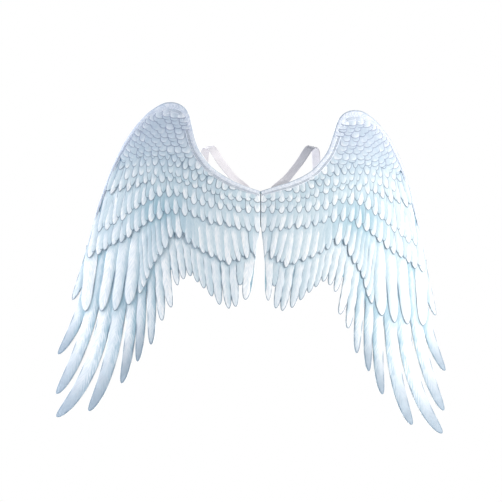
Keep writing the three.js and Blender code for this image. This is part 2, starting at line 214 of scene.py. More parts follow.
def mesh_object(name, points, faces, look, outward=False):
    """A smooth-shaded object from points in metres and faces, which can be turned outward."""
    mesh = bpy.data.meshes.new(name)
    mesh.from_pydata([tuple(p) for p in points], [], [tuple(f) for f in faces])
    mesh.materials.append(look)
    if outward:
        shell = bmesh.new()
        shell.from_mesh(mesh)
        bmesh.ops.recalc_face_normals(shell, faces=shell.faces)
        shell.to_mesh(mesh)
        shell.free()
    mesh.polygons.foreach_set("use_smooth", [True] * len(mesh.polygons))
    made = bpy.data.objects.new(name, mesh)
    bpy.context.scene.collection.objects.link(made)
    return made


def keep_modified(piece):
    """Makes what the modifiers show the piece's own mesh."""
    view = bpy.context.evaluated_depsgraph_get()
    mesh = bpy.data.meshes.new_from_object(piece.evaluated_get(view))
    piece.modifiers.clear()
    piece.data = mesh


def vertex_places(piece):
    """The places of a piece's vertices, in metres."""
    flat = np.zeros(len(piece.data.vertices) * 3)
    piece.data.vertices.foreach_get("co", flat)
    return flat.reshape(-1, 3)


def set_places(piece, places):
    piece.data.vertices.foreach_set("co", places.astype(np.float32).ravel())
    piece.data.update()


CORNER_STEPS, SMALLEST_CORNER = 6, 0.2


def rounded_outline(width, height, corner):
    """The (x, z) places round a rectangle with rounded corners."""
    spots = []
    for turn, (right, up) in enumerate([(1, 1), (-1, 1), (-1, -1), (1, -1)]):
        for i in range(CORNER_STEPS + 1):
            angle = math.pi / 2 * (turn + i / CORNER_STEPS)
            x = right * (width / 2 - corner) + corner * math.cos(angle)
            z = up * (height / 2 - corner) + corner * math.sin(angle)
            spots.append((x, z))
    return spots


def plate(name, size, rings, middle, look):
    """A flat piece with a rounded outline. A ring is how far it lies inside the outline, and its y."""
    width, height, corner = size
    points, faces = [], []
    for inset, y in rings:
        corner_here = max(corner - inset, SMALLEST_CORNER)
        outline = rounded_outline(width - 2 * inset, height - 2 * inset, corner_here)
        points += [((middle[0] + x) * MM, y * MM, (middle[1] + z) * MM) for x, z in outline]
    count = len(points) // len(rings)
    for k in range(len(rings) - 1):
        for i in range(count):
            j = (i + 1) % count
            faces.append((k * count + i, k * count + j, (k + 1) * count + j, (k + 1) * count + i))
    faces.append(tuple(range(count)))
    faces.append(tuple(range(len(points) - 1, len(points) - 1 - count, -1)))
    return mesh_object(name, points, faces, look, outward=True)


def swell(piece, voxel, pressure, cap):
    """Blows a closed piece up as cloth, and keeps every point within cap of its start."""
    remesh = piece.modifiers.new("remesh", "REMESH")
    remesh.mode, remesh.voxel_size = "VOXEL", voxel
    keep_modified(piece)
    start = vertex_places(piece)
    cloth = piece.modifiers.new("cloth", "CLOTH")
    cloth.settings.use_pressure = True
    cloth.settings.uniform_pressure_force = pressure
    cloth.settings.effector_weights.gravity = 0
    for step in range(1, SWELL_FRAMES + 1):
        bpy.context.scene.frame_set(step)
    keep_modified(piece)
    bpy.context.scene.frame_set(1)
    moved = vertex_places(piece) - start
    far = np.linalg.norm(moved, axis=1, keepdims=True)
    set_places(piece, start + moved * np.minimum(1, cap / np.maximum(far, 1e-9)))


def stitches(name, runs, look):
    """Sewn thread along runs, one arched stitch after another. A run is points and the way up."""
    points, faces = [], []
    radius = THREAD_THICKNESS / 2 * MM
    for line, normal in runs:
        line = np.array(line, float)
        normal = np.broadcast_to(np.array(normal, float), line.shape)
        reach = np.concatenate([[0], np.cumsum(np.linalg.norm(np.diff(line, axis=0), axis=1))])
        count = max(1, int(reach[-1] / (STITCH_LENGTH * MM)))
        ends = np.linspace(0, reach[-1], count + 1)
        places = np.stack([np.interp(ends, reach, line[:, k]) for k in range(3)], axis=1)
        ways = np.stack([np.interp(ends, reach, normal[:, k]) for k in range(3)], axis=1)
        for k in range(count):
            along = places[k + 1] - places[k]
            up = ways[k] / np.linalg.norm(ways[k])
            side = np.cross(along, up)
            side /= np.linalg.norm(side)
            first = len(points)
            for share, rise, stout in STITCH_RINGS:
                share = STITCH_GAP + (1 - 2 * STITCH_GAP) * share
                centre = places[k] + share * along + rise * radius * up
                for turn in range(THREAD_SIDES):
                    angle = math.tau * turn / THREAD_SIDES
                    round_it = math.cos(angle) * side + math.sin(angle) * up
                    points.append(centre + stout * radius * round_it)
            for ring in range(len(STITCH_RINGS) - 1):
                for turn in range(THREAD_SIDES):
                    a = first + ring * THREAD_SIDES + turn
                    b = first + ring * THREAD_SIDES + (turn + 1) % THREAD_SIDES
                    faces.append((a, b, b + THREAD_SIDES, a + THREAD_SIDES))
            last = first + (len(STITCH_RINGS) - 1) * THREAD_SIDES
            faces.append(list(range(first, first + THREAD_SIDES))[::-1])
            faces.append(list(range(last, last + THREAD_SIDES)))
    return mesh_object(name, points, faces, look, outward=True)


def box_run(middle, width, height, y):
    """The runs of a sewn box: its outline and the two lines of its cross."""
    x, z = middle
    w, h = width / 2, height / 2
    box = [(x - w, z - h), (x + w, z - h), (x + w, z + h), (x - w, z + h), (x - w, z - h)]
    crosses = [[(x - w, z - h), (x + w, z + h)], [(x - w, z + h), (x + w, z - h)]]
    return [[(a * MM, y * MM, b * MM) for a, b in run] for run in [box, *crosses]]


STRAP_WIDTH, STRAP_THICKNESS = 25, 1.6
PATCH_WIDTH, PATCH_HEIGHT, PATCH_THICKNESS, PATCH_CORNER = 30, 20, 0.8, 3
STRAP_END_X = 26
PATCH_Z = 19
BOX_WIDTH, BOX_HEIGHT = 18, 13
box_middles = [(side * STRAP_END_X, level * PATCH_Z) for side in (-1, 1) for level in (-1, 1)]

rings = [
    (PAD_SHRINK + PAD_EDGE_ROUND, -PAD_SHRINK / 2),
    (PAD_SHRINK, -PAD_THICKNESS / 3),
    (PAD_SHRINK, -PAD_THICKNESS * 2 / 3),
    (PAD_SHRINK + PAD_EDGE_ROUND, -PAD_THICKNESS + PAD_SHRINK / 2),
]
pad = plate("back_pad_felt", (PAD_WIDTH, PAD_HEIGHT, PAD_CORNER), rings, (0, 0), felt)
swell(pad, PAD_VOXEL * MM, PAD_PRESSURE, PAD_SWELL * MM)


def line_distance(places, run):
    """How far each place is from a run of points, in the plane of the pad."""
    nearest = np.full(len(places), 1e9)
    for a, b in zip(run[:-1], run[1:]):
        start, way = np.array(a), np.array(b) - np.array(a)
        share = np.clip(((places - start) @ way) / (way @ way), 0, 1)
        nearest = np.minimum(nearest, np.linalg.norm(places - start - share[:, None] * way, axis=1))
    return nearest


rim_width, rim_height = PAD_WIDTH - 2 * RIM_SEAM_INSET, PAD_HEIGHT - 2 * RIM_SEAM_INSET
rim_seam = rounded_outline(rim_width, rim_height, RIM_SEAM_CORNER)
rim_run = [(x * MM, -PAD_THICKNESS / 2 * MM, z * MM) for x, z in [*rim_seam, rim_seam[0]]]
sewn = [rim_run]
for middle in box_middles:
    sewn += box_run(middle, BOX_WIDTH, BOX_HEIGHT, -PAD_THICKNESS / 2)
places = vertex_places(pad)
nearest = np.min([line_distance(places, run) for run in sewn], axis=0) / MM

# Every seam pulls both faces of the pad in.
pull = SEAM_DEPTH * np.exp(-((nearest / SEAM_SPREAD) ** 2))
outward = np.sign(places[:, 1] + PAD_THICKNESS / 2 * MM)
places[:, 1] -= outward * pull * MM
set_places(pad, places)
finer = pad.modifiers.new("finer", "SUBSURF")
finer.levels = finer.render_levels = 1
keep_modified(pad)
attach(pad, "harness")
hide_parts("back_pad")

# The thread lies in the groove that the seam makes in the wearer's side.
front_y = PAD_SWELL - PAD_SHRINK / 2 - SEAM_DEPTH / 2
pad_runs = [([(x, front_y * MM, z) for x, _, z in run], (0, 1, 0)) for run in sewn]
pad_thread = stitches("back_pad_stitching", pad_runs, thread)
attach(pad_thread, "harness")

# ---------------------------------------------------------------- shoulder straps
# Each strap is a loop of flat white elastic webbing. It comes up from behind the pad, goes over
# the shoulder and under the arm, and its other end is sewn down below the first.

STRAP_STATIONS, SPAN_STEPS = 240, 24
BESIDE_PATCH = 14
SEWN_LENGTH = PATCH_HEIGHT + BESIDE_PATCH
TURN_LENGTH = 90
LOOP_MIDDLE = (100, 84, 30)
STRAP_LANES = (8, 4, 0, -4, -8)
STRAP_ROUNDING = [
    (0.0, 1.0), (0.5, 0.87), (0.87, 0.5), (1.0, 0.0), (0.87, -0.5), (0.5, -0.87), (0.0, -1.0),
]
WEBBING_DARK, WEBBING_LIGHT = (0.57, 0.56, 0.61), (0.73, 0.72, 0.76)
WEBBING_WORN = (0.76, 0.76, 0.80)

# The middle of the right strap, from its upper end over the shoulder to its lower end.
STRAP_POINTS = [
    (26, -4.1, 11), (26, -4.1, 28), (26, -4.1, 34), (28, -0.5, 45), (37, 4, 62), (64, 12, 88),
    (102, 38, 135), (131, 65, 177), (145, 100, 177), (151, 138, 133), (151, 168, 58),
    (159, 160, -7), (172, 138, -53), (178, 103, -88), (166, 63, -98), (136, 32, -96),
    (100, 15, -78), (64, 7, -68), (38, 2, -58), (28, -2.1, -44), (26, -4.1, -34),
    (26, -4.1, -28), (26, -4.1, -11),
]

# Elastic webbing: fine lengthways ribs of rubber cord, crossed by the covering yarn.
ribs, ends, out = effect("Webbing", {"Rib": 0.0012, "Yarn": 0.0009}, ("Shade", "Height"))
across, along, _ = stored(ribs, "weave")
rib_angle = times(ribs, calc(ribs, "DIVIDE", across, ends["Rib"]), math.tau)
rib = calc(ribs, "ABSOLUTE", calc(ribs, "SINE", rib_angle))
yarn_angle = times(ribs, calc(ribs, "DIVIDE", along, ends["Yarn"]), math.tau)
yarn = calc(ribs, "ABSOLUTE", calc(ribs, "SINE", plus(ribs, yarn_angle, rib_angle)))
ribs.links.new(plus(ribs, rib, times(ribs, yarn, 0.5)), out["Height"])
ribs.links.new(times(ribs, rib, yarn), out["Shade"])

webbing, tree, sockets = material("elastic webbing", 0.7, Sheen_Weight=0.3, Sheen_Roughness=0.5)
weave = use(tree, ribs, Rib=0.0013, Yarn=0.0010)
where = own_place(tree)
patchy = noise(tree, where, 60.0, 3.0)
tone = mix(tree, ramp(tree, weave["Shade"], 0.0, 0.8), WEBBING_DARK, WEBBING_LIGHT)
tone = mix(tree, ramp(tree, patchy, 0.35, 0.7, 0.0, 0.25), tone, WEBBING_WORN)
give_surface(tree, sockets, tone, weave["Height"], 0.5, 0.0003)


def smoothstep(value, low, high):
    """Value from low to high becomes 0 to 1, smoothly."""
    share = np.clip((value - low) / (high - low), 0, 1)
    return share * share * (3 - 2 * share)


def eased_curve(points, per_span):
    """Places on a smooth curve through the points, which keeps tight corners round."""
    p = np.array(points, float)
    p = np.vstack([2 * p[0] - p[1], p, 2 * p[-1] - p[-2]])
    places = []
    for k in range(1, len(p) - 2):
        a, b, c, d = p[k - 1: k + 3]
        before, here, after = (np.linalg.norm(y - x) ** 0.5 for x, y in ((a, b), (b, c), (c, d)))
        leave = ((b - a) / before - (c - a) / (before + here) + (c - b) / here) * here
        arrive = ((c - b) / here - (d - b) / (here + after) + (d - c) / after) * here
        for t in np.arange(per_span) / per_span:
            places.append(
                b + leave * t + (3 * (c - b) - 2 * leave - arrive) * t**2
                + (2 * (b - c) + leave + arrive) * t**3
            )
    return np.array([*places, p[-2]])


def evenly(line, count):
    """The line again, as count places the same distance apart, and its length."""
    steps = np.linalg.norm(np.diff(line, axis=0), axis=1)
    reach = np.concatenate([[0], np.cumsum(steps)])
    ends = np.linspace(0, reach[-1], count)
    places = [np.interp(ends, reach, line[:, k]) for k in range(line.shape[1])]
    return np.stack(places, axis=1), reach[-1]


def set_vectors(piece, name, values):
    """Stores a vector for each vertex, which a material reads."""
    layer = piece.data.attributes.new(name, "FLOAT_VECTOR", "POINT")
    layer.data.foreach_set("vector", np.asarray(values, np.float32).ravel())


def swept(count, around):
    """Faces over count rings of points, one ring after another, with closed ends."""
    faces = []
    for k in range(count - 1):
        for i in range(around):
            j = (i + 1) % around
            near, far = k * around, (k + 1) * around
            faces.append((near + i, far + i, far + j, near + j))
    faces.append(tuple(range(around)))
    faces.append(tuple((count - 1) * around + i for i in reversed(range(around))))
    return faces


half, thick = STRAP_WIDTH / 2, STRAP_THICKNESS / 2
right_edge = [(half - thick + thick * x, thick * y) for x, y in STRAP_ROUNDING]
strap_section = right_edge + [(x, -thick) for x in STRAP_LANES]
strap_section += [(-x, y) for x, y in reversed(right_edge)]
strap_section += [(x, thick) for x in reversed(STRAP_LANES)]

for name, side in (("left", -1), ("right", 1)):
    route = eased_curve([(side * x, y, z) for x, y, z in STRAP_POINTS], SPAN_STEPS)
    line, length = evenly(route, STRAP_STATIONS)
    tangent = np.gradient(line, axis=0)
    tangent /= np.linalg.norm(tangent, axis=1, keepdims=True)
    reach = np.linspace(0, length, STRAP_STATIONS)

    # Where it is sewn the strap lies flat on the pad, and further out it faces away from the loop.
    free = smoothstep(np.minimum(reach, length - reach), SEWN_LENGTH, SEWN_LENGTH + TURN_LENGTH)
    away = line - np.array([side * LOOP_MIDDLE[0], *LOOP_MIDDLE[1:]])
    away /= np.linalg.norm(away, axis=1, keepdims=True)
    outward = np.array([0.0, -1.0, 0.0]) * (1 - free[:, None]) + away * free[:, None]
    outward -= tangent * (outward * tangent).sum(1, keepdims=True)
    outward /= np.linalg.norm(outward, axis=1, keepdims=True)
    across = np.cross(tangent, outward)
    points, weave_at = [], []
    for k in range(STRAP_STATIONS):
        for x, y in strap_section:
            points.append((line[k] + across[k] * x + outward[k] * y) * MM)
            weave_at.append((x * MM, reach[k] * MM, y * MM))
    faces = swept(STRAP_STATIONS, len(strap_section))
    strap = mesh_object(f"shoulder_webbing_{name}", points, faces, webbing, outward=True)
    set_vectors(strap, "weave", weave_at)
    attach(strap, "harness")
    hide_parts(f"shoulder_strap_{name}")

# ---------------------------------------------------------------- strap patches and seam tape
# A patch of white twill tape covers each strap end, and a strip of the same tape covers the
# centre seam. All of them are sewn through the straps into the pad.

PATCH_FRONT_Y = -5.2
SEAM_TOP_Z = 60
SEAM_LENGTH = 93
TAPE_WIDTH, TAPE_THICKNESS, TAPE_CORNER = 20, 0.8, 0.8
TAPE_FRAY = 0.25
TAPE_TRIM = 0.6
SEAM_ROW_X, SEAM_ROW_MARGIN = 7.5, 3
TAPE_DARK, TAPE_LIGHT = (0.58, 0.59, 0.62), (0.76, 0.77, 0.79)

# Twill: fine slanted cords, each crossed by the weft.
twill, ends, out = effect("Twill", {"Yarn": 0.0007}, ("Shade", "Height"))
sideways, _, upwards = add(twill, "SeparateXYZ", own_place(twill)).outputs
slant = plus(twill, sideways, times(twill, upwards, 1.6))
cord_angle = times(twill, calc(twill, "DIVIDE", slant, ends["Yarn"]), math.tau)
cord = calc(twill, "ABSOLUTE", calc(twill, "SINE", cord_angle))
weft_angle = times(twill, calc(twill, "DIVIDE", upwards, ends["Yarn"]), math.pi)
weft = calc(twill, "ABSOLUTE", calc(twill, "SINE", weft_angle))
twill.links.new(times(twill, cord, plus(twill, weft, 0.4)), out["Height"])
twill.links.new(cord, out["Shade"])

tape, tree, sockets = material("twill tape", 0.85, Sheen_Weight=0.2)
weave = use(tree, twill, Yarn=0.0009)
tone = mix(tree, weave["Shade"], TAPE_DARK, TAPE_LIGHT)
give_surface(tree, sockets, tone, weave["Height"], 0.5, 0.0003)


def tape_rings(back):
    """The rings of a flat piece of tape from its front to its back, with its cut edges rounded."""
    return [
        (TAPE_FRAY, PATCH_FRONT_Y),
        (0, PATCH_FRONT_Y - TAPE_FRAY),
        (0, back + TAPE_FRAY),
        (TAPE_FRAY, back),
    ]


runs = []
for middle in box_middles:
    side = "left" if middle[0] < 0 else "right"
    level = "lower" if middle[1] < 0 else "upper"
    back = PATCH_FRONT_Y - PATCH_THICKNESS
    size = (PATCH_WIDTH, PATCH_HEIGHT, PATCH_CORNER)
    patch = plate(f"strap_end_patch_{level}_{side}", size, tape_rings(back), middle, tape)
    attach(patch, "harness")
    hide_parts(f"strap_patch_{level}_{side}")
    runs += [(run, (0, -1, 0)) for run in box_run(middle, BOX_WIDTH, BOX_HEIGHT, back)]
patch_thread = stitches("strap_patch_stitching", runs, thread)
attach(patch_thread, "harness")

back = PATCH_FRONT_Y - TAPE_THICKNESS
seam_middle = SEAM_TOP_Z - SEAM_LENGTH / 2
size = (TAPE_WIDTH, SEAM_LENGTH - TAPE_TRIM, TAPE_CORNER)
seam_strip = plate("centre_seam_tape", size, tape_rings(back), (0, seam_middle), tape)
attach(seam_strip, "harness")
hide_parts("seam_tape")
rows = []
seam_ends = [seam_middle + end * (SEAM_LENGTH / 2 - SEAM_ROW_MARGIN) for end in (1, -1)]
for x in (-SEAM_ROW_X, SEAM_ROW_X):
    for y, way in ((PATCH_FRONT_Y, 1), (back, -1)):
        rows.append(([(x * MM, y * MM, z * MM) for z in seam_ends], (0, way, 0)))
seam_thread = stitches("centre_seam_stitching", rows, thread)
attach(seam_thread, "harness")

# ---------------------------------------------------------------- foam cores
# Inside each wing is a thin sheet of white foam, die-cut with the face and the lining to the
# feathered outline. It gives the wing its body and lets it curl forward round the wearer.

FOAM_FRONT, FOAM_BACK, FOAM_BULGE = 0.9, 3.9, 0.5
FOAM_LIGHT, FOAM_DARK = (0.93, 0.93, 0.91), (0.80, 0.80, 0.78)
LINING_Y = -6.3
WING_THICKNESS = 4.8
FACE_Y = LINING_Y - WING_THICKNESS
WING_REACH = 560
SEAM_EDGE = 0.9
CURL_START = 45
DROOP_RAMP = 120
SLIT_DROOP = 0.25
PATTERN_GRID, ROW_SPACING, GRID_SHIFT = 9, 0.866, 0.37
LEADING_STEPS = 170
OUTLINE_STEPS, OUTLINE_GATHER = 28, 1.8
CUT_EDGE_ANGLE = 35
wings = {
    "left": {"side": -1, "curl": math.radians(25), "droop": 0.0},
    "right": {"side": 1, "curl": math.radians(34), "droop": math.radians(4.8)},
}

# The cut outline on the flat pattern, (out, up) from the top of the centre seam.
LEADING_EDGE = [
    (0.9, 0), (36, 12), (78, 30), (126, 62), (153, 95), (169, 125), (179, 163), (187, 197),
    (199, 219), (222, 232), (250, 233), (275, 222), (305, 200), (347, 153), (387, 86),
    (419, 12), (444, -57), (466, -136),
]
TRAILING_SIDE = [
    (462, -230), (430, -290), (380, -305), (340, -295), (300, -262), (268, -225), (226, -200),
    (190, -192), (160, -205), (130, -222), (90, -248), (50, -245), (27, -240), (21, -221),
    (14, -181), (8, -141), (1.9, -97), (0.9, -93),
]

# The long feathers of the outline: root, bow, tip, half width, and how blunt the tip is.
LONG_FEATHERS = [
    ((440, -100), (474, -215), (512, -287), 14, 3),
    ((434, -110), (468, -330), (555, -432), 17, 4),
    ((420, -125), (452, -400), (560, -538), 18, 6),
    ((392, -135), (412, -480), (560, -599), 20, 6),
    ((366, -140), (374, -455), (464, -581), 19, 5),
    ((340, -140), (337, -400), (371, -506), 15, 5),
    ((315, -140), (312, -350), (327, -448), 13, 5),
    ((292, -140), (286, -320), (290, -403), 12, 5),
    ((270, -140), (266, -280), (260, -340), 12, 5),
    ((252, -140), (250, -250), (235, -305), 12, 5),
    ((234, -120), (228, -200), (218, -247), 10, 5),
    ((216, -110), (210, -180), (202, -231), 11, 5),
    ((198, -110), (192, -170), (184, -223), 11, 5),
    ((178, -110), (174, -180), (165, -239), 11, 5),
    ((162, -120), (158, -190), (148, -255), 12, 5),
    ((142, -130), (138, -210), (128, -276), 12, 5),
    ((121, -140), (117, -230), (107, -298), 12, 5),
    ((95, -140), (92, -240), (83, -308), 12, 5),
    ((72, -140), (71, -240), (65, -303), 12, 5),
    ((27, -140), (30, -220), (40, -285), 14, 5),
]


def spline(points, shares):
    """Places on an even curve through the points, at shares from 0 to 1 of their number."""
    p = np.array(points, float)
    last = len(p) - 1
    place = np.clip(np.asarray(shares, float), 0, 1) * last
    k = np.minimum(place.astype(int), last - 1)
    t = (place - k)[:, None]
    a, b, c, d = p[np.maximum(k - 1, 0)], p[k], p[k + 1], p[np.minimum(k + 2, last)]
    leave, arrive = (c - a) / 2, (d - b) / 2
    bend, twist = 3 * (c - b) - 2 * leave - arrive, 2 * (b - c) + leave + arrive
    return b + leave * t + bend * t**2 + twist * t**3


def as_feather(row):
    return dict(zip(("root", "bow", "tip", "half", "blunt"), row))


def feather_line(feather, shares):
    """The middle of a feather at shares from its root to its tip, and which way it runs there."""
    root, bow, tip = (np.array(feather[key], float) for key in ("root", "bow", "tip"))
    s = np.asarray(shares, float)[:, None]
    middle = (1 - s) ** 2 * root + 2 * s * (1 - s) * bow + s**2 * tip
    way = (1 - s) * (bow - root) + s * (tip - bow)
    return middle, way / np.linalg.norm(way, axis=1, keepdims=True)


def feather_width(feather, shares):
    """Half the width of a feather at shares from its root to its tip."""
    left_over = 1 - np.asarray(shares, float) ** feather["blunt"]
    return feather["half"] * np.sqrt(np.maximum(left_over, 0))


def feather_outline(feather, count=OUTLINE_STEPS):
    """The places round a feather, closer together towards its tip."""
    shares = 1 - (1 - np.linspace(0, 1, count)) ** OUTLINE_GATHER
    middle, way = feather_line(feather, shares)
    side = np.stack([way[:, 1], -way[:, 0]], axis=1) * feather_width(feather, shares)[:, None]
    return np.vstack([middle - side, (middle + side)[-2::-1]])


def worn(flat, wing):
    """Flat pattern places (out from the seam, up, in from the printed side) as the wing is worn."""
    u, v, w = np.array(flat, float).T
    share = smoothstep(u + SLIT_DROOP * np.maximum(0, -SEAM_LENGTH - v), SEAM_EDGE, DROOP_RAMP)
    angle = wing["droop"] * share
    turned = u * np.cos(angle) + v * np.sin(angle)
    v = -u * np.sin(angle) + v * np.cos(angle)
    radius = (WING_REACH - CURL_START) / wing["curl"]
    angle = np.maximum(turned - CURL_START, 0) / radius
    out = np.minimum(turned, CURL_START) + radius * np.sin(angle) - w * np.sin(angle)
    forward = radius * (1 - np.cos(angle)) + w * np.cos(angle)
    return np.stack([wing["side"] * out, FACE_Y + forward, SEAM_TOP_Z + v], axis=1) * MM


def for_side(faces, wing):
    """Faces made for the right wing, turned over for the left one."""
    return faces if wing["side"] > 0 else [tuple(reversed(face)) for face in faces]


long_feathers = [as_feather(row) for row in LONG_FEATHERS]
leading_line = spline(LEADING_EDGE, np.linspace(0, 1, LEADING_STEPS + 1))
body_outline = np.vstack([leading_line, TRAILING_SIDE])


def cut_pattern(outlines):
    """One flat piece cut to all the outlines together: its points, triangles and edge."""
    corners, rings = [], []
    for outline in outlines:
        outline = np.array(outline)
        after = np.roll(outline, -1, axis=0)
        turning = (outline[:, 0] * after[:, 1] - after[:, 0] * outline[:, 1]).sum()
        outline = outline if turning > 0 else outline[::-1]
        rings.append(list(range(len(corners), len(corners) + len(outline))))
        corners += [Vector((float(x), float(y))) for x, y in outline]
    low, high = np.min(np.vstack(outlines), axis=0), np.max(np.vstack(outlines), axis=0)
    rows = np.arange(low[1], high[1], PATTERN_GRID * ROW_SPACING)
    for k, v in enumerate(rows):
        start = low[0] + (k % 2) * PATTERN_GRID / 2 + GRID_SHIFT
        corners += [Vector((float(u), float(v))) for u in np.arange(start, high[0], PATTERN_GRID)]
    points, _, faces, _, _, owners = delaunay_2d_cdt(corners, [], rings, 0, 1e-5)
    kept = [tuple(face) for face, owner in zip(faces, owners) if owner]
    used = sorted({i for face in kept for i in face})
    place = {old: new for new, old in enumerate(used)}
    triangles = [tuple(place[i] for i in face) for face in kept]
    sides = {(a, b) for x, y, z in triangles for a, b in ((x, y), (y, z), (z, x))}
    edge = [(a, b) for a, b in sorted(sides) if (b, a) not in sides]
    return np.array([points[i][:] for i in used]), triangles, edge


pattern = cut_pattern([body_outline, *[feather_outline(feather) for feather in long_feathers]])


def layer_of_wing(name, wing, front, back, bulge, look):
    """One layer of a wing as a closed sheet, with its cut edge rounded out by bulge."""
    flat, triangles, edge = pattern
    count = len(flat)
    push = np.zeros_like(flat)
    for a, b in edge:
        way = flat[b] - flat[a]
        out = np.array([way[1], -way[0]]) / max(np.linalg.norm(way), 1e-9)
        push[a] += out
        push[b] += out
    rim = sorted({i for pair in edge for i in pair})
    ring = {old: 2 * count + new for new, old in enumerate(rim)}
    push /= np.maximum(np.linalg.norm(push, axis=1, keepdims=True), 1e-9)
    middle = flat[rim] + push[rim] * bulge
    heights = ((flat, front), (flat, back), (middle, (front + back) / 2))
    flat_points = np.vstack([np.column_stack([p, np.full(len(p), w)]) for p, w in heights])
    faces = list(triangles)
    faces += [(c + count, b + count, a + count) for a, b, c in triangles]
    for a, b in edge:
        faces.append((b, a, ring[a], ring[b]))
        faces.append((ring[b], ring[a], a + count, b + count))
    layer = mesh_object(name, worn(flat_points, wing), for_side(faces, wing), look)
    layer.data.set_sharp_from_angle(angle=math.radians(CUT_EDGE_ANGLE))
    return layer


# Where the line that the outer wing bends about meets the leading and the trailing edge, how far
# forward the wing runs across it, and how far before and after it the cloth turns.
BEND_TOP = {"left": (-289.47, 18.05, 270), "right": (303.36, 32.34, 244.83)}
BEND_FOOT = {"left": (-224.81, 5.94, -187), "right": (202.93, 7.37, -205.04)}
BEND_FORWARD = 0.18
BEND_BEFORE, BEND_AFTER = 12, 42


def bend_with(piece, side):
    """Finds the ends of the turn at the tip line, and makes the piece's placement part of its mesh."""
    top, foot = np.array(BEND_TOP[side]), np.array(BEND_FOOT[side])
    line = (top - foot) / np.linalg.norm(top - foot)
    out = np.array([wings[side]["side"], BEND_FORWARD, 0.0])
    out -= line * (out @ line)
    out /= np.linalg.norm(out)
    middle = (top + foot) / 2
    start, end = middle - out * BEND_BEFORE, middle + out * BEND_AFTER
    start, end = tuple(start * MM), tuple(end * MM)
    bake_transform(piece)


foam, tree, sockets = material("white foam", 0.9)
where = own_place(tree)
cells = add(tree, "TexVoronoi", where, None, 900.0, feature="SMOOTH_F1")
tone = mix(tree, ramp(tree, cells.outputs[0], 0.1, 0.6), FOAM_LIGHT, FOAM_DARK)
give_surface(tree, sockets, tone, cells.outputs[0], 0.4, 0.0004)

for side, wing in wings.items():
    core = layer_of_wing(f"foam_core_{side}", wing, FOAM_FRONT, FOAM_BACK, FOAM_BULGE, foam)
    bend_with(core, side)
    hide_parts(f"foam_inner_{side}", f"foam_tip_{side}")

# ---------------------------------------------------------------- linings
# The wearer's side of each wing is lined with plain white non-woven cloth, bonded to the foam
# with a pattern of small pressed points and cut with it.

LINING_FRONT, LINING_BACK = 4.2, 4.8
CLOTH_BULGE = 0.05
LINING_DARK, LINING_LIGHT = (0.50, 0.52, 0.55), (0.63, 0.64, 0.66)
LINING_PRESSED = (0.44, 0.46, 0.50)

lining, tree, sockets = material("plain lining", 0.9, Sheen_Weight=0.15)
hair = use(tree, fibre, Fineness=1100.0, Clumps=120.0)
where = own_place(tree)
turned = add(tree, "Mapping", where, None, (0.0, 0.785, 0.0), (1.0, 0.0, 1.0)).outputs[0]
dots = add(tree, "TexVoronoi", turned, None, 420.0, None, None, None, None, None, 0.0)
pressed = ramp(tree, dots.outputs[0], 0.18, 0.32)
tone = mix(tree, ramp(tree, hair["Shade"], 0.15, 0.5), LINING_DARK, LINING_LIGHT)
tone = mix(tree, pressed, LINING_PRESSED, tone)
height = plus(tree, pressed, times(tree, hair["Height"], 0.5))
give_surface(tree, sockets, tone, height, 0.5, 0.0003)

for side, wing in wings.items():
    heights = (LINING_FRONT, LINING_BACK)
    back_cloth = layer_of_wing(f"lining_{side}", wing, *heights, CLOTH_BULGE, lining)
    bend_with(back_cloth, side)
    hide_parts(f"lining_inner_{side}", f"lining_tip_{side}")

# ---------------------------------------------------------------- edge wires, casings and tips
# A spring-steel wire inside the upper edge of each wing holds the arch open. It runs in a casing
# of tape that is sewn to the lining along both sides, and each end is dipped in white plastic.

WIRE_RADIUS = 1.0
WIRE_INSET = 20
WIRE_DEPTH = 6.8
WIRE_START = 19
WIRE_END_MARGIN = 14
WIRE_STATIONS, WIRE_SIDES = 161, 12
INSET_PLACES, FINE_PLACES, NEARBY = 61, 600, 0.001
BEND_LINE = ((226, -247), (292, 210))
STEEL_DARK, STEEL_LIGHT = (0.42, 0.44, 0.47), (0.62, 0.64, 0.67)
PLASTIC_DARK, PLASTIC_LIGHT = (0.84, 0.84, 0.82), (0.94, 0.94, 0.93)

# The casing ends a few stations before the wire does, and is sewn in two rows. Its section is
# (sideways, depth), over the outside and back along the inside.
CASING_MARGIN = 4
CASING_ROW, CASING_BACK = 5, 5.58
CASING_OUTSIDE = [
    (-6, 5.1), (-6, 5.55), (-4.6, 5.6), (-3.3, 6.0), (-2.4, 7.1), (-1.4, 8.25), (0, 8.6),
    (1.4, 8.25), (2.4, 7.1), (3.3, 6.0), (4.6, 5.6), (6, 5.55), (6, 5.1),
]
CASING_INSIDE = [
    (2.6, 5.1), (1.9, 6.7), (1.1, 7.8), (0, 8.1), (-1.1, 7.8), (-1.9, 6.7), (-2.6, 5.1),
]

# A dipped end: how far past the end of the wire, and its radius there.
TIP_PROFILE = [
    (0.3, 1.06), (-6.9, 1.06), (-7.0, 1.25), (-6.6, 1.55), (-5.4, 1.7), (-2.5, 1.66), (0.0, 1.7),
    (1.0, 1.55), (1.7, 1.1), (2.0, 0.35),
]

steel, tree, sockets = material("spring steel", 0.32, Metallic=1.0)
where = own_place(tree)
drawn = noise(tree, where, 700.0, 2.0)
tone = mix(tree, ramp(tree, drawn, 0.3, 0.7), STEEL_DARK, STEEL_LIGHT)
give_surface(tree, sockets, tone, drawn, 0.2, 0.0001)

plastic, tree, sockets = material("dipped plastic", 0.38, Coat_Weight=0.3, Coat_Roughness=0.2)
where = own_place(tree)
drip = noise(tree, where, 240.0, 3.0)
tone = mix(tree, ramp(tree, drip, 0.3, 0.7), PLASTIC_DARK, PLASTIC_LIGHT)
give_surface(tree, sockets, tone, drip, 0.25, 0.0003)


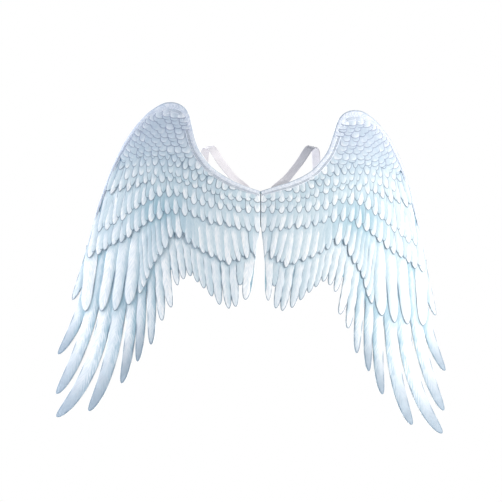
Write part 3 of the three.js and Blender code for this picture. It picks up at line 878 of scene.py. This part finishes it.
def wire_line():
    """The wire's line on the flat pattern, at a fixed inset from the leading edge."""
    shares = np.linspace(0, 1, INSET_PLACES)
    edge = spline(LEADING_EDGE, shares)
    way = spline(LEADING_EDGE, shares + NEARBY) - spline(LEADING_EDGE, shares - NEARBY)
    way /= np.linalg.norm(way, axis=1, keepdims=True)
    line = edge + np.stack([way[:, 1], -way[:, 0]], axis=1) * WIRE_INSET
    (foot_u, foot_v), (top_u, top_v) = BEND_LINE
    bend = foot_u + (line[:, 1] - foot_v) / (top_v - foot_v) * (top_u - foot_u)
    kept = line[(line[:, 0] > WIRE_START) & (line[:, 0] < bend - WIRE_END_MARGIN)]
    return evenly(spline(kept, np.linspace(0, 1, FINE_PLACES)), WIRE_STATIONS)[0]


wire_path = wire_line()
wire_way = np.gradient(wire_path, axis=0)
wire_way /= np.linalg.norm(wire_way, axis=1, keepdims=True)
wire_side = np.stack([-wire_way[:, 1], wire_way[:, 0]], axis=1)


def along_wire(section, first, last):
    """A section of (sideways, depth) places carried along the wire, as flat places."""
    rows = []
    for k in range(first, last):
        for x, w in section:
            u, v = wire_path[k] + wire_side[k] * x
            rows.append((u, v, w))
    return np.array(rows)


def wire_ring(radius):
    """The (sideways, depth) places round the wire at a radius."""
    angles = [math.tau * i / WIRE_SIDES for i in range(WIRE_SIDES)]
    return [(radius * math.cos(turn), WIRE_DEPTH + radius * math.sin(turn)) for turn in angles]


casing_section = CASING_OUTSIDE + CASING_INSIDE
for side, wing in wings.items():
    flat = along_wire(wire_ring(WIRE_RADIUS), 0, WIRE_STATIONS)
    faces = swept(WIRE_STATIONS, WIRE_SIDES)
    wire = mesh_object(f"arch_wire_{side}", worn(flat, wing), faces, steel, outward=True)
    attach(wire, f"{side}_wing")
    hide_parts(f"edge_wire_{side}")

    first, last = CASING_MARGIN, WIRE_STATIONS - CASING_MARGIN
    flat = along_wire(casing_section, first, last)
    faces = swept(last - first, len(casing_section))
    casing = mesh_object(f"arch_wire_casing_{side}", worn(flat, wing), faces, tape, outward=True)
    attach(casing, f"{side}_wing")
    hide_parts(f"wire_casing_{side}")

    runs = []
    for x in (-CASING_ROW, CASING_ROW):
        low = worn(along_wire([(x, CASING_BACK)], first + 1, last - 1), wing)
        high = worn(along_wire([(x, CASING_BACK + 1)], first + 1, last - 1), wing)
        runs.append((low, (high - low) / MM))
    sewn_rows = stitches(f"arch_wire_casing_stitching_{side}", runs, thread)
    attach(sewn_rows, f"{side}_wing")

    for end, k, ahead in (("root", 0, -1), ("arch", WIRE_STATIONS - 1, 1)):
        flat = []
        for reach, radius in TIP_PROFILE:
            centre = wire_path[k] + wire_way[k] * ahead * reach
            flat += [(*(centre + wire_side[k] * x), w) for x, w in wire_ring(radius)]
        faces = swept(len(TIP_PROFILE), WIRE_SIDES)
        name = f"arch_wire_tip_{end}_{side}"
        dip = mesh_object(name, worn(flat, wing), faces, plastic, outward=True)
        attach(dip, f"{side}_wing")
        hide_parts(f"wire_tip_{end}_{side}")

# ---------------------------------------------------------------- printed faces
# The face of each wing is non-woven cloth, printed with pale blue and white feathers and pressed
# in a heated mould, so that each feather stands a few millimetres proud of the one that it covers.

FACE_FRONT, FACE_BACK = 0.1, 0.6
LANES = np.array([-1, -0.93, -0.72, -0.4, -0.1, 0, 0.1, 0.4, 0.72, 0.93, 1])
COVERT_STATIONS, LONG_STATIONS = 13, 30

# The relief of a feather: how much its tip rises and its middle crowns over its edges, how it
# tilts over the next one, and the skirt that closes its rim down to the cloth below.
COVERT_RISE, COVERT_CROWN = 1.8, 0.04
LONG_RISE, LONG_CROWN, LONG_TRIM = 1.1, 0.5, 0.3
CROWN_GROWS, CROWN_WIDTH, CROWN_FALL = (0.05, 0.4), 1.25, 2.2
TILT = 0.3
SKIRT, DEEPEST = 1.5, 0.4
TIP_SHARE, TIP_GATHER = 0.995, 1.7

# Room for the wings to fold face to face: the relief allowed at the seam, how much more there is
# for each millimetre away from it, and the tallest relief.
SEAM_ROOM, FOLD_ROOM, TALLEST = 0.85, 0.083, 3.9

# Where the print changes: how far the shade of a covering feather reaches, the lengths between
# which feathers become streaked or grey-tipped, the heights between which the wing becomes the
# arch, and the middle and reach of its darkest part, a shade painted over the middle of the wing.
COVER_REACH, FINE_OUTLINE = 20, 36
STREAKED_LENGTH, GREY_LENGTH = (140, 290), (200, 290)
ARCH_RISE = (20, 170)
PAINTED_SHADE_MIDDLE, PAINTED_SHADE_REACH = (268, -52), (62, 58)

# Which way the feathers lie: (out, up) on the pattern, and degrees that their tips lean outwards.
LEAN = [
    (30, -20, 0), (60, -90, -7), (120, -120, -9), (60, -200, -7), (150, -150, -7), (12, -200, 3),
    (110, 20, 14), (160, 80, 16), (185, 150, 8), (215, 205, 0), (260, 200, 6), (240, 120, 2),
    (230, 40, 4), (200, -20, 0), (190, -100, -5), (215, -60, 2), (250, -100, 4), (300, 180, 26),
    (340, 120, 28), (380, 60, 25), (410, 0, 21), (300, 60, 14), (330, 0, 15), (370, -60, 13),
    (430, -90, 15), (300, -60, 8), (300, -150, 3), (350, -200, 9), (400, -200, 12),
    (450, -200, 13), (270, -180, 2), (230, -180, -2),
]

# Rows of covering feathers from the lowest to the highest: where their tips lie, how far apart
# they are, half their width, how blunt they are, and their length at some places along the row.
ROWS = [
    ([(475, -319), (430, -319), (391, -319), (350, -295)], 41, 18.5, 5, ((340, 200), (475, 215))),
    ([(322, -272), (311, -255), (287, -202), (264, -168), (250, -150)], 22, 12.5, 4.5,
     ((250, 130), (322, 170))),
    ([(236, -128), (213, -122), (192, -132), (176, -148), (155, -164), (131, -176),
      (107, -187), (81, -197), (60, -192), (33, -178), (9, -172)],
     25.5, 13.5, 3.6, ((0, 125), (260, 110))),
    ([(464, -172), (438, -165), (383, -139), (322, -104), (276, -75), (235, -62), (187, -66),
      (147, -83), (94, -97), (7, -108)],
     25, 13.5, 3.6, ((0, 95), (250, 85), (460, 130))),
    ([(458, -118), (416, -104), (361, -70), (306, -33), (262, -15), (214, -15), (160, -38),
      (94, -52), (7, -58)],
     24.5, 13, 3.6, ((0, 72), (200, 66), (300, 90), (460, 130))),
    ([(424, -15), (383, -4), (328, 9), (273, 22), (219, 20), (166, 1), (113, -17), (54, -28),
      (7, -31)],
     24, 12.5, 3.6, ((0, 56), (200, 50), (300, 90), (420, 130))),
    ([(360, 34), (309, 44), (250, 44), (227, 41), (147, 20), (94, 4), (12, -10)],
     20.5, 11.5, 4, ((0, 40), (200, 44), (360, 80))),
    ([(396, 52), (345, 66), (295, 66), (214, 58), (134, 38), (85, 20)],
     20, 11.5, 4, ((0, 40), (200, 42), (396, 75))),
    ([(385, 70), (330, 84), (281, 82), (214, 74), (148, 54)], 20, 11.5, 4, ((0, 40), (385, 60))),
]

# A feather covers those of a lower rank. The lowest rows of short feathers have a second set
# under the first, in the gaps and a little higher up.
RANK_STEP = 0.01
BETWEEN_RANKS, BETWEEN_RAISE, BETWEEN_LIFT = (2, 3, 4, 5, 6), 0.42, 0.15

# Short rows close together over the arch, between the outer and the inner leading edge.
ARCH_LEVELS = (92, 104, 116, 128, 140, 152, 164, 176, 187, 197)
ARCH_OUTSIDE = ((86, 153, 200), (372, 328, 284))
ARCH_INSIDE = ((60, 95, 125, 163, 197), (148, 170, 186, 197, 206))
ARCH_DROP = (9, 6)
ARCH_FEATHERS = (21.5, 13, 11, ((0, 34), (374, 46)))
for level in ARCH_LEVELS:
    outside, inside = np.interp(level, *ARCH_OUTSIDE), np.interp(level, *ARCH_INSIDE)
    middle = ((outside + inside) / 2, level)
    tips = [(outside, level - ARCH_DROP[0]), middle, (inside, level - ARCH_DROP[1])]
    ROWS.append((tips, *ARCH_FEATHERS))

# Two rows that follow the border up the shoulder.
ROWS += [
    ([(168, 84), (150, 56), (120, 32), (84, 12), (44, -4), (12, -16)],
     19, 11.5, 4, ((0, 28), (200, 32))),
    ([(172, 104), (158, 76), (134, 50), (100, 28), (62, 10), (16, -3)],
     19, 11.5, 4, ((0, 26), (200, 30))),
]

# How far each row is lifted off the one below, how far feathers keep inside the leading edge and
# the slit, how short one may get to do so, and how it bows.
LOWEST_LIFT, LIFT_STEP, HIGHEST_LIFT = 0.5, 0.1, 1.15
EDGE_KEEP, ROOT_KEEP, SLIT_KEEP = 2.0, 4.0, 0.4
ROOT_WIDTH = 0.8
SHORTEST, SHORTER = 15, 0.92
BOW_SHARE, BOW_OUT = 0.55, 0.05
ROW_PLACES = 300
LEAN_SHARE = 0.3

# How unlike each other the feathers of a row are: along the row and up (as shares of the gap
# between feathers), in length, in degrees of turn and in width.
ROW_JITTER, TIP_JITTER = 0.09, 0.19
LENGTH_RANGE, TURN_RANGE, WIDTH_RANGE = (0.96, 1.04), (-5, 5), (0.86, 1.08)
lean_table = np.array(LEAN, float)
LEAN_SOFTNESS, LEAN_FALL = 400, -1.6
chance = np.random.default_rng(7)


def lean_at(place):
    """Which way a feather's tip points at a place on the pattern."""
    near = ((lean_table[:, :2] - place) ** 2).sum(1) + LEAN_SOFTNESS
    weight = near ** LEAN_FALL
    angle = math.radians((weight * lean_table[:, 2]).sum() / weight.sum())
    return np.array([math.sin(angle), -math.cos(angle)])


EDGE_PLACES = 900
FAR_INSIDE = 99
edge_line = spline(LEADING_EDGE, np.linspace(0, 1, EDGE_PLACES))
edge_inward = np.gradient(edge_line, axis=0)
edge_inward = np.stack([edge_inward[:, 1], -edge_inward[:, 0]], axis=1)
edge_inward /= np.linalg.norm(edge_inward, axis=1, keepdims=True)


def leading_inset(places):
    """How far inside the leading edge places are, with the nearest place on it and the way in."""
    far = np.linalg.norm(places[:, None] - edge_line[None], axis=2)
    near = far.argmin(1)
    inset = ((places - edge_line[near]) * edge_inward[near]).sum(1)
    inset[near == EDGE_PLACES - 1] = FAR_INSIDE
    return inset, edge_line[near], edge_inward[near]


def fits_inside(root, way, half):
    """Whether a feather's root lies inside the leading edge across its whole width."""
    side = np.array([way[1], -way[0]]) * half * ROOT_WIDTH
    return leading_inset(np.array([root - side, root, root + side]))[0].min() > ROOT_KEEP


def covering_row(rank, tips, apart, half, blunt, lengths, lift, between=False):
    """The feathers of one row, from the outside of the wing to the seam."""
    line = spline(tips, np.linspace(0, 1, ROW_PLACES))
    reach = np.concatenate([[0], np.cumsum(np.linalg.norm(np.diff(line, axis=0), axis=1))])
    count = max(2, round(reach[-1] / apart) + 1)
    row = []
    for k in range(count - between):
        step = (k + between / 2) / (count - 1)
        along = step * reach[-1] + chance.uniform(-ROW_JITTER, ROW_JITTER) * apart
        along = np.clip(along, 0, reach[-1])
        tip = np.array([np.interp(along, reach, line[:, axis]) for axis in (0, 1)])
        tip[1] += (chance.uniform(-TIP_JITTER, TIP_JITTER) + between * BETWEEN_RAISE) * apart
        length = np.interp(tip[0], *zip(*lengths)) * chance.uniform(*LENGTH_RANGE)
        way = lean_at(tip + np.array([0, LEAN_SHARE * length]))
        turn = math.radians(chance.uniform(*TURN_RANGE))
        way = np.array([
            way[0] * math.cos(turn) - way[1] * math.sin(turn),
            way[0] * math.sin(turn) + way[1] * math.cos(turn),
        ])
        size = half * chance.uniform(*WIDTH_RANGE)
        tint = chance.uniform(0, 1)
        while length > SHORTEST and not fits_inside(tip - way * length, way, half):
            length *= SHORTER
        if length <= SHORTEST:
            continue
        root = tip - way * length
        bow = root + way * length * BOW_SHARE - np.array([BOW_OUT * length, 0]) * way[0]
        row.append({
            "root": root, "bow": bow, "tip": tip, "half": size, "blunt": blunt,
            "lift": lift - BETWEEN_LIFT * between, "rise": COVERT_RISE,
            "crown": COVERT_CROWN * half, "rank": rank - 0.5 * between + k * RANK_STEP,
            "tint": tint, "stations": COVERT_STATIONS,
        })
    return row


# One more long feather lies between the last two, inside the outline.
INNER_FEATHER = ((50, -120), (50, -190), (54, -247), 13, 5)
plumes = []
for k, feather in enumerate([as_feather(INNER_FEATHER), *long_feathers]):
    plumes.append({
        **feather, "half": feather["half"] - LONG_TRIM, "lift": 0.0, "rise": LONG_RISE,
        "crown": LONG_CROWN, "rank": k * RANK_STEP, "tint": chance.uniform(0, 1),
        "stations": LONG_STATIONS,
    })
for rank, row in enumerate(ROWS, start=1):
    lift = min(LOWEST_LIFT + LIFT_STEP * rank, HIGHEST_LIFT)
    if rank in BETWEEN_RANKS:
        plumes += covering_row(rank, *row, lift, between=True)
    plumes += covering_row(rank, *row, lift)

SLIT_PLACES = 6
slit = np.array(TRAILING_SIDE[-SLIT_PLACES:][::-1], float)


def keep_on_wing(flat, covering):
    """Moves what reaches past the seam, the slit or the leading edge back on to the wing."""
    inner = np.interp(-flat[:, 1], -slit[:, 1], slit[:, 0], left=SEAM_EDGE) + SLIT_KEEP
    flat[:, 0] = np.maximum(flat[:, 0], inner)
    if covering:
        inset, nearest, inward = leading_inset(flat)
        over = inset < EDGE_KEEP
        flat[over] = (nearest + inward * EDGE_KEEP)[over]
    return flat


def fold_room(flat):
    """Lowers the relief towards the centre seam, so that the wings can fold face to face."""
    room = SEAM_ROOM + FOLD_ROOM * (flat[:, 0] - SEAM_EDGE)
    relief = np.maximum(FACE_FRONT - flat[:, 2], 0) * np.minimum(1, room / TALLEST)
    flat[:, 2] = np.where(flat[:, 2] < FACE_FRONT, FACE_FRONT - relief, flat[:, 2])
    return flat


def pressed_feather(feather):
    """A feather's flat places, faces, and what the print needs to know at each place."""
    count = feather["stations"]
    shares = 1 - (1 - np.linspace(0, TIP_SHARE, count)) ** TIP_GATHER
    middle, way = feather_line(feather, shares)
    width = feather_width(feather, shares)
    side = np.stack([way[:, 1], -way[:, 0]], axis=1)
    reach = np.concatenate([[0], np.cumsum(np.linalg.norm(np.diff(middle, axis=0), axis=1))])
    narrowing = np.minimum(1, CROWN_WIDTH * width / feather["half"])
    grown = smoothstep(shares, *CROWN_GROWS) * narrowing
    flat, vane = [], []
    for k in range(count):
        for lane in LANES:
            u, v = middle[k] + side[k] * width[k] * lane
            height = feather["lift"] + feather["rise"] * shares[k]
            height += feather["crown"] * grown[k] * (1 - abs(lane) ** CROWN_FALL)
            height -= TILT * lane * grown[k]
            flat.append((u, v, FACE_FRONT - height))
            vane.append((lane * width[k], reach[k]))
    flat, vane = np.array(flat), np.array(vane)
    lanes = len(LANES)
    faces = []
    for k in range(count - 1):
        for i in range(lanes - 1):
            a = k * lanes + i
            faces.append((a, a + 1, a + 1 + lanes, a + lanes))
    rim = [k * lanes for k in range(count)]
    rim += [(count - 1) * lanes + i for i in range(1, lanes)]
    rim += [k * lanes + lanes - 1 for k in reversed(range(count - 1))]
    lower = flat[rim].copy()
    lower[:, 2] = np.minimum(lower[:, 2] + SKIRT, DEEPEST)
    if feather["lift"] == 0:
        lower[:, 2] = DEEPEST
    start = len(flat)
    for k in range(len(rim) - 1):
        faces.append((rim[k], rim[k + 1], start + k + 1, start + k))
    return np.vstack([flat, lower]), faces, np.vstack([vane, vane[rim]]), rim


def print_of(plumes):
    """All the feathers of a wing together, with what the print needs to know at each place.

    vane is how far sideways, along and inside the rim of its feather a place is. print is how far
    it is from a feather that covers it, the feather's tint and the shade painted over the middle of
    the wing. part is how much it belongs to the arch, to a long feather and to a long feather's tip.
    """
    outlines = [feather_outline(feather, FINE_OUTLINE) for feather in plumes]
    ranks = np.repeat([feather["rank"] for feather in plumes], [len(o) for o in outlines])
    tree = KDTree(len(ranks))
    for k, (u, v) in enumerate(np.vstack(outlines)):
        tree.insert((u, v, 0), k)
    tree.balance()
    all_flat, all_faces, vanes, prints, parts = [], [], [], [], []
    start = 0
    for feather, outline in zip(plumes, outlines):
        flat, faces, vane, rim = pressed_feather(feather)
        gaps = flat[:, None, :2] - outline[None]
        rim_distance = np.sqrt((gaps**2).sum(2)).min(1)
        # The skirt walls stand at SKIRT from the rim, so they take part of the dark outline ink: the
        # printed outline, carried down the wall as painted shade under each rim.
        rim_distance[len(flat) - len(rim):] = SKIRT
        cover = []
        for u, v, _ in flat:
            near = tree.find_range((u, v, 0), COVER_REACH)
            above = [distance for _, k, distance in near if ranks[k] > feather["rank"]]
            cover.append(min(above, default=COVER_REACH))
        # Painted shade: a soft dark patch over the middle of the wing, the same on both wings.
        off_painted_shade = (flat[:, :2] - PAINTED_SHADE_MIDDLE) / PAINTED_SHADE_REACH
        painted_shade = np.exp(-(off_painted_shade**2).sum(1))
        flat[:, :2] = keep_on_wing(flat[:, :2], feather["lift"] > 0)
        all_flat.append(fold_room(flat))
        all_faces += [tuple(i + start for i in face) for face in faces]
        vanes.append(np.column_stack([vane, rim_distance]) * MM)
        tint = np.full(len(flat), feather["tint"])
        prints.append(np.column_stack([np.array(cover) * MM, tint, painted_shade]))
        length = vane[:, 1].max()
        arch = smoothstep(flat[:, 1], *ARCH_RISE)
        long = np.full(len(flat), smoothstep(length, *STREAKED_LENGTH))
        near_tip = vane[:, 1] / length * smoothstep(length, *GREY_LENGTH)
        parts.append(np.column_stack([arch, long, near_tip]))
        start += len(flat)
    return np.vstack(all_flat), all_faces, *(np.vstack(rows) for rows in (vanes, prints, parts))


# The inks of the print.
WHITE = (0.92, 0.93, 0.94)
PALE_BLUE = (0.53, 0.64, 0.73)
INNER_BLUE = (0.30, 0.46, 0.57)
TEAL = (0.23, 0.42, 0.52)
LAVENDER = (0.57, 0.64, 0.77)
OUTLINE = (0.15, 0.22, 0.30)
PURPLE = (0.20, 0.24, 0.37)
TIP_GREY = (0.27, 0.34, 0.42)
PLUM = (0.29, 0.39, 0.51)
BORDER_WHITE, BORDER_BLUE = (0.78, 0.82, 0.88), (0.40, 0.48, 0.62)

# The barbs of a printed feather: fine streaks that run outwards from the shaft to the tip.
barbs, ends, out = effect("Barbs", {"Fineness": 420.0, "Slant": 1.5}, ("Shade", "Height", "Shaft"))
across, along, _ = stored(barbs, "vane")
sideways = calc(barbs, "ABSOLUTE", across)
lag = calc(barbs, "SUBTRACT", along, times(barbs, sideways, ends["Slant"]))
streak_along = times(barbs, lag, ends["Fineness"])
streak_across = times(barbs, across, 90.0)
streak_at = add(barbs, "CombineXYZ", streak_along, streak_across)
streaks = noise(barbs, streak_at.outputs[0], 1.0, 3.0, 0.65)
barbs.links.new(streaks, out["Height"])
barbs.links.new(ramp(barbs, streaks, 0.36, 0.66), out["Shade"])
barbs.links.new(ramp(barbs, sideways, 0.0003, 0.0011, 1.0, 0.0), out["Shaft"])

printed, tree, sockets = material("printed feathers", 0.8, Sheen_Weight=0.1)
across, _, inside_rim = stored(tree, "vane")
covered, tint, painted_shade = stored(tree, "print")
arch, long, near_tip = stored(tree, "part")
barb = use(tree, barbs, Fineness=125.0, Slant=2.3)
hair = use(tree, fibre, Fineness=1000.0, Clumps=70.0)
where = own_place(tree)
cloud = noise(tree, where, 38.0, 3.0)
under_cover = ramp(tree, covered, 0.0, 0.017, 1.0, 0.0)

# White vanes with pale blue barbs, bluer where shade is painted over the middle of the wing.
# Some feathers are bluer than others.
streak_share = plus(tree, 0.5, times(tree, painted_shade, 0.3))
streaked = times(tree, barb["Shade"], streak_share)
tone = mix(tree, streaked, WHITE, PALE_BLUE)
tone = mix(tree, ramp(tree, tint, 0.4, 1.0, 0.0, 0.4), tone, PALE_BLUE)

# Long feathers have a blue inner vane and a grey tip, and the arch has a lavender cast.
inner_vane = ramp(tree, across, -0.004, 0.011, 0.0, 1.0)
scratched = plus(tree, 0.2, times(tree, barb["Shade"], 0.8))
inner_vane = times(tree, times(tree, inner_vane, scratched), long)
tone = mix(tree, inner_vane, tone, INNER_BLUE)
tone = mix(tree, ramp(tree, near_tip, 0.55, 0.97, 0.0, 0.95), tone, TIP_GREY)
tone = mix(tree, times(tree, arch, 0.42), tone, LAVENDER)
tone = mix(tree, ramp(tree, cloud, 0.45, 0.75, 0.0, 0.25), tone, PALE_BLUE)

# The shade under a covering feather, the dark line round each feather, and its shaft.
# Where shade is painted over the middle of the wing, the printed shade under covering feathers goes
# deeper.
depth = plus(tree, 0.5, times(tree, painted_shade, 0.45))
depth = plus(tree, depth, times(tree, arch, 0.1))
depth = plus(tree, depth, times(tree, long, 0.25))
valley = mix(tree, arch, TEAL, PLUM)
tone = mix(tree, times(tree, under_cover, depth), tone, valley)
rim = calc(tree, "DIVIDE", inside_rim, plus(tree, 1.0, times(tree, long, 0.6)))
edge_ink = mix(tree, arch, OUTLINE, PURPLE)
tone = mix(tree, ramp(tree, rim, 0.0006, 0.0030, 0.92, 0.0), tone, edge_ink)
tone = mix(tree, times(tree, barb["Shaft"], 0.18), tone, TEAL)
tone = mix(tree, ramp(tree, hair["Shade"], 0.2, 0.45, 0.10, 0.0), tone, PALE_BLUE)
height = plus(tree, barb["Height"], times(tree, hair["Height"], 0.35))
give_surface(tree, sockets, tone, height, 0.45, 0.0008)

# The ground is seen only in the narrow gaps between feathers. It takes the teal of the printed
# valleys, which is painted shade in those gaps.
ground_in_gap_shade, tree, sockets = material("printed ground and gap shade", 0.85)
hair = use(tree, fibre, Fineness=1000.0, Clumps=70.0)
tone = mix(tree, ramp(tree, hair["Shade"], 0.15, 0.5), TEAL, PALE_BLUE)
give_surface(tree, sockets, tone, hair["Height"], 0.4, 0.0004)

# The border along the leading edge: how far inside the edge its inner cord line is, and its
# section as (share of its width, height). A narrow border is lower as well.
BORDER_WIDTH = [11, 12, 14, 15, 16, 16, 17, 18, 20, 24, 26, 24, 19, 13, 9, 7, 5, 3]
BORDER_SECTION = [
    (0.0, -0.4), (0.0, 1.2), (0.08, 2.1), (0.22, 2.5), (0.42, 2.4), (0.6, 2.3), (0.68, 1.7),
    (0.76, 3.0), (0.84, 1.9), (0.92, 3.2), (0.98, 2.9), (1.0, 2.3), (1.0, 0.8),
]
BORDER_STATIONS = 240
CORD_LINES = (0.68, 0.84)
BORDER_SHAFT, BORDER_SEAM_GAP, NARROW_BORDER = 0.4, 0.2, 12

border, tree, sockets = material("printed border", 0.8, Sheen_Weight=0.1)
_, along, inside = stored(tree, "vane")
barb = use(tree, barbs, Fineness=210.0, Slant=0.7)
hair = use(tree, fibre, Fineness=1000.0, Clumps=70.0)
streaked = times(tree, barb["Shade"], ramp(tree, along, 0.12, 0.3, 0.5, 0.95))
tone = mix(tree, streaked, BORDER_WHITE, BORDER_BLUE)
tone = mix(tree, ramp(tree, along, 0.12, 0.3, 0.0, 0.4), tone, LAVENDER)
tone = mix(tree, ramp(tree, inside, 0.03, 0.16, 0.6, 0.0), tone, OUTLINE)
for place in CORD_LINES:
    off = calc(tree, "ABSOLUTE", calc(tree, "SUBTRACT", inside, place))
    fade = ramp(tree, along, 0.45, 0.75, 0.62, 0.25)
    cord_ink = times(tree, ramp(tree, off, 0.02, 0.075, 1.0, 0.0), fade)
    tone = mix(tree, cord_ink, tone, OUTLINE)
height = plus(tree, barb["Height"], times(tree, hair["Height"], 0.35))
give_surface(tree, sockets, tone, height, 0.45, 0.0008)


def border_strip():
    """The border's flat places and faces, and what its print needs to know at each place."""
    shares = np.linspace(0, 1, BORDER_STATIONS)
    edge = spline(LEADING_EDGE, shares)
    way = np.gradient(edge, axis=0)
    way /= np.linalg.norm(way, axis=1, keepdims=True)
    inward = np.stack([way[:, 1], -way[:, 0]], axis=1)
    wide = np.interp(shares, np.linspace(0, 1, len(BORDER_WIDTH)), BORDER_WIDTH) / CORD_LINES[1]
    reach = np.concatenate([[0], np.cumsum(np.linalg.norm(np.diff(edge, axis=0), axis=1))])
    flat, vane = [], []
    low = np.minimum(1, wide / NARROW_BORDER)
    for k in range(BORDER_STATIONS):
        for share, height in BORDER_SECTION:
            u, v = edge[k] + inward[k] * wide[k] * share
            flat.append((max(u, SEAM_EDGE + BORDER_SEAM_GAP), v, FACE_FRONT - height * low[k]))
            vane.append(((share - BORDER_SHAFT) * wide[k] * MM, reach[k] * MM, share))
    around = len(BORDER_SECTION)
    faces = []
    for k in range(BORDER_STATIONS - 1):
        for i in range(around - 1):
            a = k * around + i
            faces.append((a, a + around, a + 1 + around, a + 1))
    return fold_room(np.array(flat)), faces, vane


flat_print = print_of(plumes)
flat_border = border_strip()
for side, wing in wings.items():
    heights = (FACE_FRONT, FACE_BACK)
    ground = layer_of_wing(f"printed_face_{side}", wing, *heights, CLOTH_BULGE, ground_in_gap_shade)
    bend_with(ground, side)
    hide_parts(f"face_inner_{side}", f"face_tip_{side}")

    flat, faces, vane, inks, parts = flat_print
    faces = for_side(faces, wing)
    feathers = mesh_object(f"pressed_feathers_{side}", worn(flat, wing), faces, printed)
    set_vectors(feathers, "vane", vane)
    set_vectors(feathers, "print", inks)
    set_vectors(feathers, "part", parts)
    bend_with(feathers, side)

    flat, faces, vane = flat_border
    faces = for_side(faces, wing)
    strip = mesh_object(f"pressed_border_{side}", worn(flat, wing), faces, border)
    set_vectors(strip, "vane", vane)
    bend_with(strip, side)

# ---------------------------------------------------------------- studio
# A pale floor well below the wings, soft light from both sides and a white surround.

FLOOR_Z = -1.3
FLOOR_SIZE = 2.0
CAMERA_DISTANCE = 6.0
VIEW_WIDTH = 1.318
VIEW_X, VIEW_Z = -0.025, -0.097
SENSOR = 36.0
AMBIENT = (0.14, 0.165, 0.20)
FLOOR_DARK, FLOOR_LIGHT = (0.86, 0.86, 0.86), (0.90, 0.90, 0.90)
LIGHT_AIM = Vector((0, 0, -0.1))

# Each light: azimuth (0 is behind the camera, 90 to the right), height, distance, size, power
# and colour.
LIGHTS = {
    "key light": (68, 1.1, 4.2, 1.8, 300, (1.0, 0.95, 0.895)),
    "rim light": (-93, 0.5, 3.2, 1.5, 200, (0.98, 0.98, 1.0)),
    "far light": (180, 1.2, 3.2, 1.5, 60, (1.0, 1.0, 1.0)),
    "top light": (0, 2.8, 1.0, 1.5, 22, (1.0, 1.0, 1.0)),
}

paint, tree, sockets = material("studio floor", 0.9)
where = own_place(tree)
tone = mix(tree, ramp(tree, noise(tree, where, 6.0), 0.3, 0.7), FLOOR_DARK, FLOOR_LIGHT)
tree.links.new(tone, sockets["Base Color"])
turns = ((-1, -1), (1, -1), (1, 1), (-1, 1))
corners = [(x * FLOOR_SIZE, y * FLOOR_SIZE, FLOOR_Z) for x, y in turns]
floor = mesh_object("floor", corners, [(0, 1, 2, 3)], paint)
floor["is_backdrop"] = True

for name, (azimuth, height, distance, size, power, colour) in LIGHTS.items():
    lamp = bpy.data.lights.new(name, "AREA")
    lamp.shape, lamp.size, lamp.size_y, lamp.energy = "RECTANGLE", size, size, power
    lamp.color = colour
    made = bpy.data.objects.new(name, lamp)
    angle = math.radians(azimuth)
    place = Vector((math.sin(angle) * distance, -math.cos(angle) * distance, height))
    made.location = place
    made.rotation_euler = (LIGHT_AIM - place).to_track_quat("-Z", "Y").to_euler()
    bpy.context.scene.collection.objects.link(made)

bpy.context.scene.view_settings.view_transform = "Standard"
world = bpy.data.worlds.new("white surround")
bpy.context.scene.world = world
world.use_nodes = True
tree = world.node_tree
surround = tree.nodes["Background"]
seen = add(tree, "LightPath").outputs["Is Camera Ray"]
tree.links.new(mix(tree, seen, AMBIENT, (1.0, 1.0, 1.0)), surround.inputs["Color"])

camera = bpy.data.objects.new("camera", bpy.data.cameras.new("camera"))
camera.location = (VIEW_X, -CAMERA_DISTANCE, VIEW_Z)
camera.rotation_euler = (math.pi / 2, 0, 0)
camera.data.sensor_width = SENSOR
camera.data.lens = SENSOR * CAMERA_DISTANCE / VIEW_WIDTH
bpy.context.scene.collection.objects.link(camera)
bpy.context.scene.camera = camera

low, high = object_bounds()
